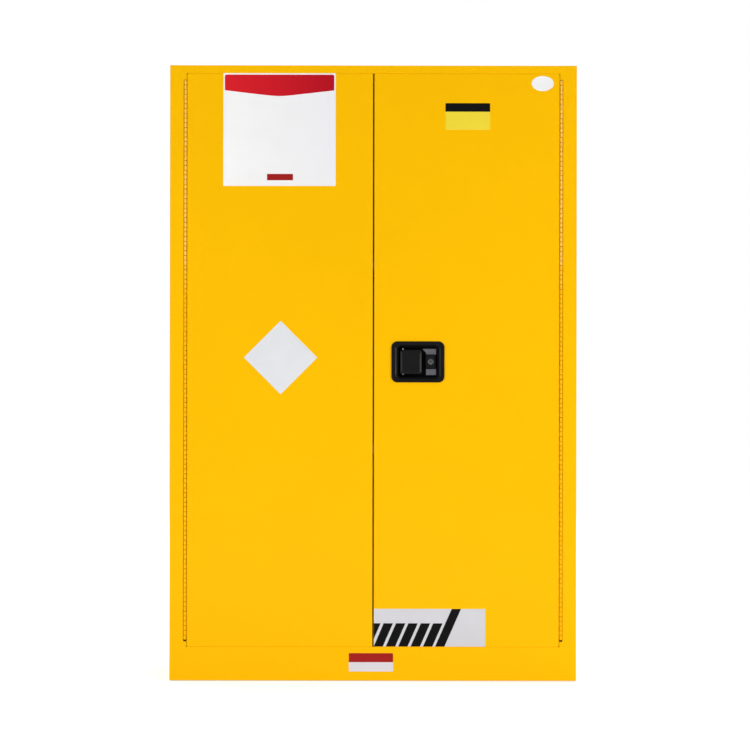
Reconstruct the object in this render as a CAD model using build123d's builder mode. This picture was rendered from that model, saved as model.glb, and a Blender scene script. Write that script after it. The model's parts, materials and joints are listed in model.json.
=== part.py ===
from build123d import *
import os

# Flammable safety cabinet with two doors and a three-point paddle latch, in millimetres.
# +Z is up, the front faces -Y, and the origin is on the floor under the middle of the cabinet.
# A depth is measured back from the front face.

# Outer case
cabinet_width = 1090.0
cabinet_depth = 460.0
cabinet_height = 1650.0
floor_gap = 2.0
wall_sheet = 1.2
case_flange = 20.0
air_gap = 38.0
base_pan_height = 12.0
seam_gap = 1.0

# Front frame
frame_sheet = 1.5
front_edge_radius = 1.2
sill_height = 91.8
header_height = 20.7
stop_gap = 1.6
stop_overlap = 10.9
sill_stop_rise = 13.0
stop_lip = 14.0
ear_gap = 1.0
hinge_foot_gap = 4.5
hinge_head_gap = 1.0

# Inner case
sump_depth = 50.0
spacer_height = 45.0
spacer_length = 760.0
side_spacer_length = 260.0

# Doors
door_sheet = 1.2
door_fold = 40.0
door_gap = 0.8
centre_gap = 5.0
door_corner_radius = 4.0
door_edge_bevel = 1.0
door_return = 14.0
inner_panel_margin = 3.0
field_inset = 25.0
field_rise = 8.0
field_corner = 18.0
field_taper = 35.0
stiffener_width = 50.0
stiffener_inset = 200.0
stiffener_end_gap = 40.0

# Piano hinges
hinge_inset = 41.5
hinge_margin = 18.45
knuckle_count = 21
knuckle_radius = 3.5
knuckle_sides = 6
knuckle_gap = 0.4
leaf_offset = 4.6
leaf_sheet = 1.1
leaf_depth = 30.0
leaf_relief = 0.5
hinge_pin_radius = 1.5
hinge_pin_clearance = 0.08

# Shelves and their rails
shelf_count = 2
shelf_sheet = 1.2
shelf_rim = 28.0
shelf_side_gap = 12.6
shelf_front_gap = 14.0
shelf_back_gap = 8.0
shelf_hem = 9.0
rail_width = 22.0
rail_fold = 8.0
rail_sheet = 1.5
rail_spread = 230.0
rail_end_gap = 80.0
rail_slot_count = 7
rail_slot_width = 4.0
rail_slot_height = 14.0
clip_sheet = 2.0
clip_width = 20.0
clip_drop = 30.0
clip_reach = 22.0
clip_nose = 6.0

# Vents, at a low place on the left side and a high place on the right side
low_vent_height = 190.0
high_vent_drop = 180.0
vent_tube_radius = 30.0
vent_bore_radius = 25.4
vent_flange_radius = 42.0
vent_flange_sides = 12
vent_flange_sheet = 2.5
vent_hole_clearance = 0.2
vent_inner_reach = 2.0
arrester_sheet = 3.0
arrester_sides = 24
arrester_clearance = 0.1
cap_clearance = 0.3
cap_plug_length = 14.0
cap_head_radius = 35.0
cap_head_sides = 12
cap_head_sheet = 6.0
cap_head_bevel = 2.5
cap_grip_width = 14.0
cap_grip_length = 48.0
cap_grip_rise = 8.0
cap_grip_bevel = 4.0

# Earth stud on the right side
stud_radius = 4.0
stud_proud = 16.0
stud_height = 62.0
stud_back_inset = 60.0
stud_head_sheet = 5.3
hex_flat_ratio_share = 1.625
washer_ratio_share = 2.0
washer_sheet = 1.6
washer_sides = 16
nut_sheet = 6.5
stud_neck_radius = 3.9
stud_neck_length = 1.0
thread_clearance = 0.1
hex_sides = 6
bore_sides = 8

# Levelling feet
foot_inset = 75.0
foot_pad_radius = 22.0
foot_pad_sheet = 7.0
foot_pad_sides = 16
foot_nut_radius = 9.0
foot_stem_radius = 5.0
foot_stem_length = 33.0
nut_plate_width = 46.0
nut_plate_sheet = 6.0

# Latch pan in the right door
latch_x = 120.0
latch_drop = 4.55
bezel_width = 142.0
bezel_height = 110.0
bezel_corner_radius = 16.0
bezel_proud = 4.0
bezel_bevel = 2.0
lip_width = 8.0
lip_drop = 4.0
dish_width = 106.0
dish_height = 83.0
dish_corner_radius = 8.0
dish_depth = 21.0
dish_taper = 6.0
dish_wall = 1.8
dish_clearance = 0.8
pan_opening_corner = 6.0
recess_plate_left = 22.5
recess_plate_width = 26.5
recess_plate_height = 70.0
recess_plate_horn = 10.0
recess_plate_sheet = 1.5
pan_stud_radius = 2.5
pan_stud_span_x = 124.0
pan_stud_span_z = 96.0
pan_stud_clearance = 0.3

# Paddle
paddle_width = 57.0
paddle_height = 65.0
paddle_sheet = 6.0
paddle_recess = 1.0
paddle_bevel_width = 5.5
paddle_bevel_drop = 2.5
paddle_side_gap = 6.0
pivot_inset = 7.2
pivot_depth = 12.5
barrel_radius = 4.5
barrel_web = 8.0
paddle_pin_radius = 2.5
paddle_pin_clearance = 0.05
ear_sheet = 4.0
ear_width = 12.0
ear_clearance = 1.0
ear_front_depth = 7.0
tail_reach = 20.5
tail_sheet = 4.0
tail_height = 10.0
tail_tip_radius = 3.0
tail_slot_reach = 8.0
tail_slot_clearance = 2.0
spring_place = 12.0
spring_turns = 4
spring_sides = 8
spring_pitch = 2.6
spring_radius = 4.6
spring_wire = 1.2
spring_end_gap = 0.6

# Latch works behind the pan
latch_clearance = 0.3
hub_depth = 37.5
hub_sheet = 3.0
hub_arm_width = 16.0
hub_arm_bevel = 5.0
hub_pin_sides = 12
hub_pin_radius = 3.0
hub_pin_front = 27.5
rod_arm = 45.0
bolt_arm = 56.0
axle_radius = 4.0
axle_clearance = 0.05
axle_head_radius = 6.5
axle_head_sheet = 3.2
back_plate_depth = 43.0
back_plate_sheet = 2.0
back_plate_width = 142.0
back_plate_height = 116.0
back_plate_corner = 8.0
rod_radius = 4.0
rod_depth = 29.5
eye_width = 22.0
eye_height = 17.0
eye_sheet = 5.0
eye_slot_play = 3.2
slot_clearance = 0.5
bullet_radius = 5.5
bullet_length = 32.0
bullet_nose = 3.0
bullet_hole_clearance = 0.6
tip_proud = 0.4
bolt_height = 14.0
bolt_sheet = 8.0
bolt_tail = 12.0
bolt_nose = 2.5
keeper_slot_width = 17.0
keeper_slot_depth = 17.0
centre_slot_depth = 12.0
keeper_margin = 10.0
keeper_lip = 3.0
keeper_sheet = 3.0
guide_width = 24.0
guide_sheet = 2.5
guide_foot = 24.0
guide_rod_clearance = 0.3
guide_overhang = 7.0
guide_hub_gap = 155.0
guide_end_gap = 90.0

# Key lock in the pan
lock_offset_x = 34.5
lock_offset_z = 0.5
lock_boss_width = 28.5
lock_boss_height = 39.0
lock_boss_depth = 8.0
lock_boss_bevel = 2.0
lock_barrel_radius = 11.0
lock_rear_depth = 37.0
lock_hole_clearance = 0.2
plug_radius = 8.0
plug_clearance = 0.05
plug_proud = 0.8
key_slot_width = 1.8
key_slot_height = 9.0
key_slot_depth = 4.0
cam_sheet = 2.5
cam_width = 11.0
cam_bevel = 3.0
cam_reach = 12.0
cam_gap = 0.4

# One overrun for every cut that leaves its piece
overrun = 1.0

# Places that follow from the sizes above
half_width = cabinet_width / 2
front_y = bezel_proud - (cabinet_depth + bezel_proud) / 2
back_y = front_y + cabinet_depth
middle_y = (front_y + back_y) / 2
axis_x = half_width - hinge_inset
jamb_x = axis_x + leaf_offset
door_edge_x = axis_x - leaf_offset
door_centre_edge_x = centre_gap / 2
door_width = door_edge_x - door_centre_edge_x
door_middle_x = (door_edge_x + door_centre_edge_x) / 2
header_bottom = cabinet_height - header_height
door_bottom = sill_height + door_gap
door_top = header_bottom - door_gap
door_height = door_top - door_bottom
door_middle_z = (door_top + door_bottom) / 2
inner_panel_back = door_fold + door_sheet
field_front = door_fold + field_rise
stop_depth = inner_panel_back + stop_gap
frame_depth = stop_depth + frame_sheet
stop_edge_x = door_edge_x - stop_overlap
stop_top = sill_height + sill_stop_rise
wall_depth = wall_sheet + air_gap
liner_x = half_width - wall_depth - wall_sheet
liner_ceiling = cabinet_height - wall_depth - wall_sheet
back_panel_y = back_y - wall_sheet
liner_back_y = back_panel_y - wall_depth
sump_floor_top = sill_height - sump_depth
foot_bore = foot_stem_radius + thread_clearance
hinge_length = door_height - 2 * hinge_margin
hinge_bottom = door_bottom + hinge_margin
knuckle_pitch = hinge_length / knuckle_count
knuckle_flat = Vector(knuckle_radius, 0, 0).rotate(Axis.Z, 180 / knuckle_sides).X
vent_heights = {-1: low_vent_height, 1: cabinet_height - high_vent_drop}
latch_z = door_middle_z - latch_drop
lock_x = latch_x + lock_offset_x
lock_z = latch_z + lock_offset_z
upper_guide_heights = (latch_z + guide_hub_gap, door_top - guide_end_gap)
lower_guide_heights = (latch_z - guide_hub_gap, door_bottom + guide_end_gap)
pivot_x = latch_x - dish_width / 2 + paddle_side_gap + pivot_inset
hub_x = pivot_x + tail_tip_radius + hub_pin_radius + latch_clearance
hub_z = latch_z - tail_reach
upper_rod_x = hub_x + rod_arm
lower_rod_x = hub_x - rod_arm
bolt_z = hub_z + bolt_arm
rod_y = front_y + rod_depth
shelf_half_width = liner_x - shelf_side_gap
shelf_front_y = front_y + frame_depth + stop_lip + shelf_front_gap
shelf_back_y = liner_back_y - wall_sheet - shelf_back_gap
shelf_pitch = (liner_ceiling - stop_top) / (shelf_count + 1)
shelf_heights = [stop_top + place * shelf_pitch for place in range(1, shelf_count + 1)]
rail_middle_y = (shelf_front_y + shelf_back_y) / 2


def at_depth(x, depth):
    """A point of a plan view, given by its place across and its depth behind the front face."""
    return (x, front_y + depth)


def front_plane(depth):
    """An upright plane facing the front, at a depth behind the front face."""
    return Plane.XZ.offset(-(front_y + depth))


def sheet_outline(points, sheet, fold_side):
    """The section of a folded sheet: a line through the points, thickened to one side."""
    with BuildLine() as section:
        Polyline(*points)
        offset(amount=sheet, side=fold_side, kind=Kind.INTERSECTION)
    make_face(section.edges())


def by_side(side, right_fold, left_fold):
    """The thickened side of a section that is drawn alike on the right and on the left."""
    return right_fold if side > 0 else left_fold


# Outer case


def side_panel(side):
    """One side of the case, folded in at the front and at the back, with its vent hole."""
    outer = side * half_width
    flange_end = side * (half_width - case_flange)
    height = cabinet_height - wall_sheet - floor_gap
    with BuildPart() as panel:
        with BuildSketch(Plane.XY.offset(floor_gap)):
            sheet_outline(
                [
                    at_depth(flange_end, frame_sheet),
                    at_depth(outer, frame_sheet),
                    (outer, back_y),
                    (flange_end, back_y),
                ],
                wall_sheet,
                by_side(side, Side.LEFT, Side.RIGHT),
            )
        extrude(amount=height)
        with BuildSketch(Plane.YZ.offset(outer)):
            with Locations((middle_y, vent_heights[side])):
                Circle(vent_tube_radius + vent_hole_clearance)
            if side > 0:
                with Locations((back_y - stud_back_inset, stud_height)):
                    RegularPolygon(stud_radius + thread_clearance, bore_sides, major_radius=False)
        extrude(amount=wall_sheet, both=True, mode=Mode.SUBTRACT)
    return panel


def top_panel():
    """The lid sheet of the case, with a flange turned down at the front and at the back."""
    flange_half = half_width - case_flange - seam_gap
    inner_half = jamb_x - seam_gap
    with BuildPart() as panel:
        with BuildSketch(Plane.XY.offset(cabinet_height - wall_sheet)):
            with Locations((0, (front_y + frame_sheet + back_y) / 2)):
                Rectangle(cabinet_width, cabinet_depth - frame_sheet)
        extrude(amount=wall_sheet)
        fillet(panel.edges().group_by(Axis.Z)[-1].filter_by(Axis.Y), radius=front_edge_radius / 2)
        with BuildSketch(front_plane(frame_sheet)):
            with Locations((0, cabinet_height - wall_sheet)):
                Rectangle(2 * inner_half, header_height / 2, align=(Align.CENTER, Align.MAX))
        extrude(amount=-wall_sheet)
        with BuildSketch(front_plane(cabinet_depth)):
            with Locations((0, cabinet_height - wall_sheet)):
                Rectangle(2 * flange_half, case_flange, align=(Align.CENTER, Align.MAX))
        extrude(amount=wall_sheet)
    return panel


def back_panel():
    """The rear sheet, seated inside the rear flanges of the sides and the top."""
    height = cabinet_height - wall_sheet - floor_gap
    with BuildPart() as panel:
        with BuildSketch(Plane.XZ.offset(-back_panel_y)):
            with Locations((0, floor_gap)):
                Rectangle(2 * (half_width - wall_sheet), height, align=(Align.CENTER, Align.MIN))
        extrude(amount=wall_sheet)
    return panel


def base_pan():
    """The floor sheet of the case, notched at the front for the stiles, with holes for the feet."""
    front_strip = frame_depth + seam_gap
    rear = back_panel_y - wall_sheet
    with BuildPart() as pan:
        with BuildSketch(Plane.XY.offset(base_pan_height)):
            with Locations((0, rear)):
                Rectangle(
                    2 * (half_width - wall_sheet),
                    rear - front_y - front_strip,
                    align=(Align.CENTER, Align.MAX),
                )
            with Locations((0, front_y + frame_sheet)):
                Rectangle(2 * jamb_x, front_strip, align=(Align.CENTER, Align.MIN))
            with Locations((0, middle_y)):
                with GridLocations(*foot_grid()):
                    RegularPolygon(foot_bore, bore_sides, major_radius=False, mode=Mode.SUBTRACT)
        extrude(amount=wall_sheet)
    return pan


# Front frame


def stile(side):
    """An upright of the front frame: face, jamb, door stop and stiffening lip, with hinge ears."""
    face_edge = side * half_width
    jamb = side * jamb_x
    stop = side * stop_edge_x
    fold = by_side(side, Side.RIGHT, Side.LEFT)
    lower_ear_top = hinge_bottom - hinge_foot_gap
    upper_ear_foot = hinge_bottom + hinge_length + hinge_head_gap
    ear_x = side * (door_edge_x + ear_gap)
    outermost = -1 if side > 0 else 0
    with BuildPart() as upright:
        with BuildSketch(Plane.XY.offset(floor_gap)):
            sheet_outline(
                [at_depth(face_edge, 0), at_depth(jamb, 0), at_depth(jamb, frame_depth)], frame_sheet, fold
            )
        extrude(amount=cabinet_height - wall_sheet - floor_gap)
        with BuildSketch(front_plane(0)):
            with BuildLine():
                Polyline(
                    (face_edge, cabinet_height - wall_sheet),
                    (face_edge, cabinet_height),
                    (jamb, cabinet_height),
                    (jamb, cabinet_height - wall_sheet),
                    close=True,
                )
            make_face()
        extrude(amount=-frame_sheet)
        front_corner = upright.edges().filter_by(Axis.Z).group_by(Axis.X)[outermost].sort_by(Axis.Y)[0]
        fillet(front_corner, radius=front_edge_radius)
        with BuildSketch(Plane.XY.offset(sill_height)):
            with BuildLine():
                Polyline(
                    at_depth(jamb, stop_depth),
                    at_depth(stop, stop_depth),
                    at_depth(stop, frame_depth),
                    at_depth(jamb, frame_depth),
                    close=True,
                )
            make_face()
        extrude(amount=header_bottom - sill_height)
        with BuildSketch(Plane.XY.offset(stop_top)):
            sheet_outline(
                [
                    at_depth(jamb, stop_depth),
                    at_depth(stop, stop_depth),
                    at_depth(stop, frame_depth + stop_lip),
                ],
                frame_sheet,
                fold,
            )
        extrude(amount=liner_ceiling - stop_top)
        with BuildSketch(front_plane(0)):
            for ear_foot, ear_top in ((sill_height, lower_ear_top), (upper_ear_foot, header_bottom)):
                with BuildLine():
                    Polyline(
                        (jamb, ear_foot), (ear_x, ear_foot), (ear_x, ear_top), (jamb, ear_top), close=True
                    )
                make_face()
        extrude(amount=-frame_sheet)
    return upright


def header():
    """The top of the front frame, with the slot that takes the upper bolt."""
    with BuildPart() as rail:
        with BuildSketch(Plane.YZ.offset(-jamb_x)):
            sheet_outline(
                [
                    (front_y, cabinet_height),
                    (front_y, header_bottom),
                    (front_y + frame_depth, header_bottom),
                ],
                frame_sheet,
                Side.LEFT,
            )
        extrude(amount=2 * jamb_x)
        front_corner = rail.edges().filter_by(Axis.X).group_by(Axis.Z)[-1].sort_by(Axis.Y)[0]
        fillet(front_corner, radius=front_edge_radius)
        with BuildSketch(Plane.XY.offset(header_bottom)):
            with Locations((upper_rod_x, rod_y)):
                Rectangle(keeper_slot_width, keeper_slot_depth)
        extrude(amount=frame_sheet, mode=Mode.SUBTRACT)
    return rail


def header_stop():
    """The strip welded under the header that the tops of the doors close against."""
    with BuildPart() as strip:
        with BuildSketch(front_plane(frame_depth)):
            with Locations((0, header_bottom)):
                Rectangle(
                    2 * stop_edge_x, header_bottom - liner_ceiling, align=(Align.CENTER, Align.MAX)
                )
        extrude(amount=frame_sheet)
    return strip


def sill():
    """The plinth face and the ledge under the doors, with the slot for the lower bolt."""
    with BuildPart() as rail:
        with BuildSketch(Plane.YZ.offset(-jamb_x)):
            sheet_outline(
                [(front_y, floor_gap), (front_y, sill_height), (front_y + frame_depth, sill_height)],
                frame_sheet,
                Side.RIGHT,
            )
        extrude(amount=2 * jamb_x)
        with BuildSketch(Plane.XY.offset(sill_height)):
            with Locations((lower_rod_x, rod_y)):
                Rectangle(keeper_slot_width, keeper_slot_depth)
        extrude(amount=-frame_sheet, mode=Mode.SUBTRACT)
    return rail


def sill_stop():
    """The strip welded on the sill that the feet of the doors close against."""
    with BuildPart() as strip:
        with BuildSketch(front_plane(frame_depth)):
            with Locations((0, sill_height)):
                Rectangle(2 * stop_edge_x, stop_top - sill_height, align=(Align.CENTER, Align.MIN))
        extrude(amount=frame_sheet)
    return strip


# Inner case


def liner_side(side):
    """One side of the inner case, standing on the base of the sump, with its vent hole."""
    foot = sump_floor_top - wall_sheet
    with BuildPart() as liner:
        with BuildSketch(Plane.YZ.offset(side * liner_x)):
            with Locations((front_y + frame_depth, foot)):
                Rectangle(
                    liner_back_y - front_y - frame_depth,
                    liner_ceiling - foot,
                    align=(Align.MIN, Align.MIN),
                )
            with Locations((middle_y, vent_heights[side])):
                Circle(vent_tube_radius + vent_hole_clearance, mode=Mode.SUBTRACT)
        extrude(amount=side * wall_sheet)
    return liner


def liner_top():
    """The ceiling of the inner case."""
    with BuildPart() as liner:
        with BuildSketch(Plane.XY.offset(liner_ceiling)):
            with Locations((0, front_y + frame_depth)):
                Rectangle(
                    2 * (liner_x + wall_sheet),
                    liner_back_y - front_y - frame_depth,
                    align=(Align.CENTER, Align.MIN),
                )
        extrude(amount=wall_sheet)
    return liner


def liner_back():
    """The rear sheet of the inner case, standing on the sump floor."""
    with BuildPart() as liner:
        with BuildSketch(Plane.XZ.offset(-liner_back_y)):
            with Locations((0, sump_floor_top)):
                Rectangle(2 * liner_x, liner_ceiling - sump_floor_top, align=(Align.CENTER, Align.MIN))
        extrude(amount=wall_sheet)
    return liner


def sump_floor():
    """The tight floor that keeps spilt liquid below the sill."""
    with BuildPart() as floor:
        with BuildSketch(Plane.XY.offset(sump_floor_top)):
            with Locations((0, front_y + frame_depth)):
                Rectangle(
                    2 * liner_x, liner_back_y - front_y - frame_depth, align=(Align.CENTER, Align.MIN)
                )
        extrude(amount=-wall_sheet)
    return floor


def sump_dam():
    """The front wall of the sump, lapped behind the stop of the sill."""
    with BuildPart() as dam:
        with BuildSketch(front_plane(frame_depth)):
            with Locations((0, sump_floor_top)):
                Rectangle(
                    2 * liner_x,
                    stop_top - frame_sheet - sump_floor_top,
                    align=(Align.CENTER, Align.MIN),
                )
        extrude(amount=-wall_sheet)
    return dam


def channel_points(base, reach, middle, width):
    """Four points of a channel section that stands between two walls."""
    return [
        (base + reach, middle - width / 2),
        (base, middle - width / 2),
        (base, middle + width / 2),
        (base + reach, middle + width / 2),
    ]


def wall_spacers():
    """Channels that hold the two cases apart at the sides, the back, the top and the floor."""
    cross_ys = (middle_y - side_spacer_length / 2, middle_y + side_spacer_length / 2)
    liner_top_z = liner_ceiling + wall_sheet
    floor_z = base_pan_height + wall_sheet
    floor_rise = sump_floor_top - wall_sheet - floor_z
    with BuildPart() as spacers:
        for side in (-1, 1):
            with BuildSketch(Plane.XZ.offset(-(middle_y - side_spacer_length / 2))):
                for height in shelf_heights:
                    sheet_outline(
                        channel_points(
                            side * (liner_x + wall_sheet), side * air_gap, height, spacer_height
                        ),
                        wall_sheet,
                        by_side(side, Side.RIGHT, Side.LEFT),
                    )
            extrude(amount=-side_spacer_length)
        with BuildSketch(Plane.YZ.offset(-spacer_length / 2)):
            for height in shelf_heights:
                sheet_outline(
                    channel_points(liner_back_y, air_gap, height, spacer_height), wall_sheet, Side.RIGHT
                )
            for y in cross_ys:
                lid = channel_points(liner_top_z, air_gap, y, spacer_height)
                sheet_outline([(v, u) for u, v in lid], wall_sheet, Side.LEFT)
                floor = channel_points(floor_z, floor_rise, y, spacer_height)
                sheet_outline([(v, u) for u, v in floor], wall_sheet, Side.LEFT)
        extrude(amount=spacer_length)
    return spacers


# Shelves


def shelf_rails():
    """Four slotted channels on the inner sides that carry the shelf clips."""
    foot = stop_top + rail_end_gap
    length = liner_ceiling - rail_end_gap - foot
    slot_pitch = length / rail_slot_count
    with BuildPart() as rails:
        for side in (-1, 1):
            wall = side * liner_x
            face = side * (liner_x - rail_fold)
            with BuildSketch(Plane.XY.offset(foot)):
                for y in (rail_middle_y - rail_spread / 2, rail_middle_y + rail_spread / 2):
                    sheet_outline(
                        [
                            (wall, y - rail_width / 2),
                            (face, y - rail_width / 2),
                            (face, y + rail_width / 2),
                            (wall, y + rail_width / 2),
                        ],
                        rail_sheet,
                        by_side(side, Side.RIGHT, Side.LEFT),
                    )
            extrude(amount=length)
            with BuildSketch(Plane.YZ.offset(face)):
                with Locations((rail_middle_y, foot + length / 2)):
                    with GridLocations(rail_spread, slot_pitch, 2, rail_slot_count):
                        Rectangle(rail_slot_width, rail_slot_height)
            extrude(amount=side * rail_sheet, mode=Mode.SUBTRACT)
    return rails


def shelf_clips():
    """Eight angle clips on the rails, four under each shelf, each with its free edge turned down."""
    face = liner_x - rail_fold
    with BuildPart() as clips:
        for side in (-1, 1):
            for y in (rail_middle_y - rail_spread / 2, rail_middle_y + rail_spread / 2):
                with BuildSketch(Plane.XZ.offset(-(y - clip_width / 2))):
                    for height in shelf_heights:
                        sheet_outline(
                            [
                                (side * face, height - clip_drop),
                                (side * face, height),
                                (side * (face - clip_reach), height),
                                (side * (face - clip_reach), height - clip_nose),
                            ],
                            clip_sheet,
                            by_side(side, Side.LEFT, Side.RIGHT),
                        )
                extrude(amount=-clip_width)
    return clips


def shelf(height):
    """A spill-tray shelf with a raised rim and a hem turned in round its top."""
    depth = shelf_back_y - shelf_front_y
    with BuildPart() as tray:
        with BuildSketch(Plane.XY.offset(height)):
            with Locations((0, (shelf_front_y + shelf_back_y) / 2)):
                Rectangle(2 * shelf_half_width, depth)
        extrude(amount=shelf_rim)
        with BuildSketch(Plane.XY.offset(height + shelf_sheet)):
            with Locations((0, (shelf_front_y + shelf_back_y) / 2)):
                Rectangle(2 * (shelf_half_width - shelf_sheet), depth - 2 * shelf_sheet)
        extrude(amount=shelf_rim - 2 * shelf_sheet, mode=Mode.SUBTRACT)
        with BuildSketch(Plane.XY.offset(height + shelf_rim)):
            with Locations((0, (shelf_front_y + shelf_back_y) / 2)):
                Rectangle(2 * (shelf_half_width - shelf_hem), depth - 2 * shelf_hem)
        extrude(amount=-shelf_sheet, mode=Mode.SUBTRACT)
    return tray


# Vents


def vent_plane(side, x):
    """An upright plane across a vent, facing outwards, at a distance from the middle of the cabinet."""
    return Plane(origin=(side * x, middle_y, vent_heights[side]), x_dir=(0, side, 0), z_dir=(side, 0, 0))


def vent_sleeves():
    """Two tubes through the double walls, each with a twelve-sided flange outside."""
    inner_end = liner_x - vent_inner_reach
    with BuildPart() as sleeves:
        for side in (-1, 1):
            with BuildSketch(vent_plane(side, inner_end)):
                Circle(vent_tube_radius)
            extrude(amount=half_width - inner_end)
            with BuildSketch(vent_plane(side, half_width)):
                RegularPolygon(vent_flange_radius, vent_flange_sides)
            extrude(amount=vent_flange_sheet)
            with BuildSketch(vent_plane(side, inner_end)):
                Circle(vent_bore_radius)
            extrude(amount=half_width + vent_flange_sheet - inner_end, mode=Mode.SUBTRACT)
    return sleeves


def flame_arresters():
    """Two gauze discs at the inner ends of the vent tubes."""
    with BuildPart() as discs:
        for side in (-1, 1):
            with BuildSketch(Plane.YZ.offset(side * liner_x)):
                with Locations((middle_y, vent_heights[side])):
                    RegularPolygon(vent_bore_radius - arrester_clearance, arrester_sides)
            extrude(amount=side * arrester_sheet)
    return discs


def vent_cap(side):
    """A screw-in vent cap: a round plug, a bevelled twelve-sided head and a grip bar across it."""
    seat = half_width + vent_flange_sheet + cap_clearance
    outermost = -1 if side > 0 else 0
    with BuildPart() as cap:
        with BuildSketch(vent_plane(side, seat)):
            RegularPolygon(cap_head_radius, cap_head_sides)
        extrude(amount=cap_head_sheet)
        chamfer(cap.faces().sort_by(Axis.X)[outermost].edges(), length=cap_head_bevel)
        with BuildSketch(vent_plane(side, seat)):
            Circle(vent_bore_radius - cap_clearance)
        extrude(amount=-cap_plug_length)
        with BuildSketch(vent_plane(side, seat + cap_head_sheet)) as grip:
            Rectangle(cap_grip_length, cap_grip_width)
            chamfer(grip.vertices(), length=cap_grip_bevel)
        extrude(amount=cap_grip_rise)
    return cap


# Earth stud


def stud_plane(x):
    return Plane(origin=(x, back_y - stud_back_inset, stud_height), x_dir=(0, 1, 0), z_dir=(1, 0, 0))


def ground_stud():
    """The earth bolt: a head inside the wall, a neck through the nut and a round free end beyond it."""
    neck_end = half_width + washer_sheet + thread_clearance + nut_sheet + stud_neck_length
    with BuildPart() as bolt:
        with BuildSketch(stud_plane(half_width - wall_sheet)):
            RegularPolygon(stud_radius * hex_flat_ratio_share, hex_sides, major_radius=False)
        extrude(amount=-stud_head_sheet)
        with BuildSketch(stud_plane(half_width - wall_sheet)):
            RegularPolygon(stud_neck_radius, bore_sides)
        extrude(amount=wall_sheet + neck_end - half_width)
        with BuildSketch(stud_plane(neck_end)):
            Circle(stud_radius)
        extrude(amount=half_width + stud_proud - neck_end)
    return bolt


def ground_nut():
    """The washer and the nut on the earth bolt."""
    bore = stud_radius + thread_clearance
    with BuildPart() as nuts:
        with BuildSketch(stud_plane(half_width)):
            RegularPolygon(stud_radius * washer_ratio_share, washer_sides)
            RegularPolygon(bore, bore_sides, major_radius=False, mode=Mode.SUBTRACT)
        extrude(amount=washer_sheet)
        with BuildSketch(stud_plane(half_width + washer_sheet + thread_clearance)):
            RegularPolygon(stud_radius * hex_flat_ratio_share, hex_sides, major_radius=False)
            RegularPolygon(bore, bore_sides, major_radius=False, mode=Mode.SUBTRACT)
        extrude(amount=nut_sheet)
    return nuts


# Feet


def foot_grid():
    """Spacing and count of the four feet, for a grid of places."""
    return (cabinet_width - 2 * foot_inset, cabinet_depth - 2 * foot_inset, 2, 2)


def levelling_feet():
    """Four feet: a pad, a lock nut under the base and a stem."""
    with BuildPart() as feet:
        with BuildSketch():
            with Locations((0, middle_y)):
                with GridLocations(*foot_grid()):
                    RegularPolygon(foot_pad_radius, foot_pad_sides)
        extrude(amount=foot_pad_sheet)
        with BuildSketch(Plane.XY.offset(foot_pad_sheet)):
            with Locations((0, middle_y)):
                with GridLocations(*foot_grid()):
                    RegularPolygon(foot_nut_radius, hex_sides)
        extrude(amount=base_pan_height - foot_pad_sheet)
        with BuildSketch(Plane.XY.offset(base_pan_height)):
            with Locations((0, middle_y)):
                with GridLocations(*foot_grid()):
                    RegularPolygon(foot_stem_radius, bore_sides, major_radius=False)
        extrude(amount=foot_stem_length - base_pan_height)
    return feet


def foot_nut_plates():
    """Four threaded plates welded on the base pan over the feet."""
    with BuildPart() as plates:
        with BuildSketch(Plane.XY.offset(base_pan_height + wall_sheet)):
            with Locations((0, middle_y)):
                with GridLocations(*foot_grid()):
                    Rectangle(nut_plate_width, nut_plate_width)
                    RegularPolygon(foot_bore, bore_sides, major_radius=False, mode=Mode.SUBTRACT)
        extrude(amount=nut_plate_sheet)
    return plates


# Hinges


def hinge_leaf(side, carrier, first):
    """A piano hinge leaf whose knuckles take every second place up the hinge.

    The carrier is 1 for the leaf on the frame and -1 for the leaf on the door. Each knuckle's web slants
    in from the leaf, so that a groove is left on both sides of the barrel.
    """
    outward = side * carrier
    axis = side * axis_x
    outer_face = axis + outward * leaf_offset
    inner_face = outer_face - outward * leaf_sheet
    web_end = front_y + knuckle_radius + leaf_relief
    starts = [hinge_bottom + index * knuckle_pitch for index in range(first, knuckle_count, 2)]
    with BuildPart() as leaf:
        with BuildSketch(Plane.XY.offset(hinge_bottom + knuckle_gap)):
            with Locations((outer_face, web_end)):
                Rectangle(
                    leaf_sheet,
                    leaf_depth,
                    align=(Align.MAX if outward > 0 else Align.MIN, Align.MIN),
                )
        extrude(amount=hinge_length - 2 * knuckle_gap)
        with BuildSketch(*[Plane.XY.offset(start + knuckle_gap / 2) for start in starts]):
            with Locations((axis, front_y)):
                RegularPolygon(knuckle_radius, knuckle_sides, rotation=180 / knuckle_sides)
            with BuildLine():
                Polyline(
                    (axis + outward * knuckle_flat, front_y),
                    (outer_face, web_end),
                    (inner_face, web_end),
                    (axis + outward * (knuckle_flat - leaf_sheet), front_y),
                    close=True,
                )
            make_face()
            with Locations((axis, front_y)):
                bore = 2 * (hinge_pin_radius + hinge_pin_clearance)
                Rectangle(bore, bore, mode=Mode.SUBTRACT)
        extrude(amount=knuckle_pitch - knuckle_gap)
    return leaf


def hinge_pins():
    """The two long pins of the piano hinges."""
    with BuildPart() as pins:
        with BuildSketch(Plane.XY.offset(hinge_bottom)):
            with Locations((-axis_x, front_y), (axis_x, front_y)):
                RegularPolygon(hinge_pin_radius, bore_sides)
        extrude(amount=hinge_length)
    return pins


# Doors


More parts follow.
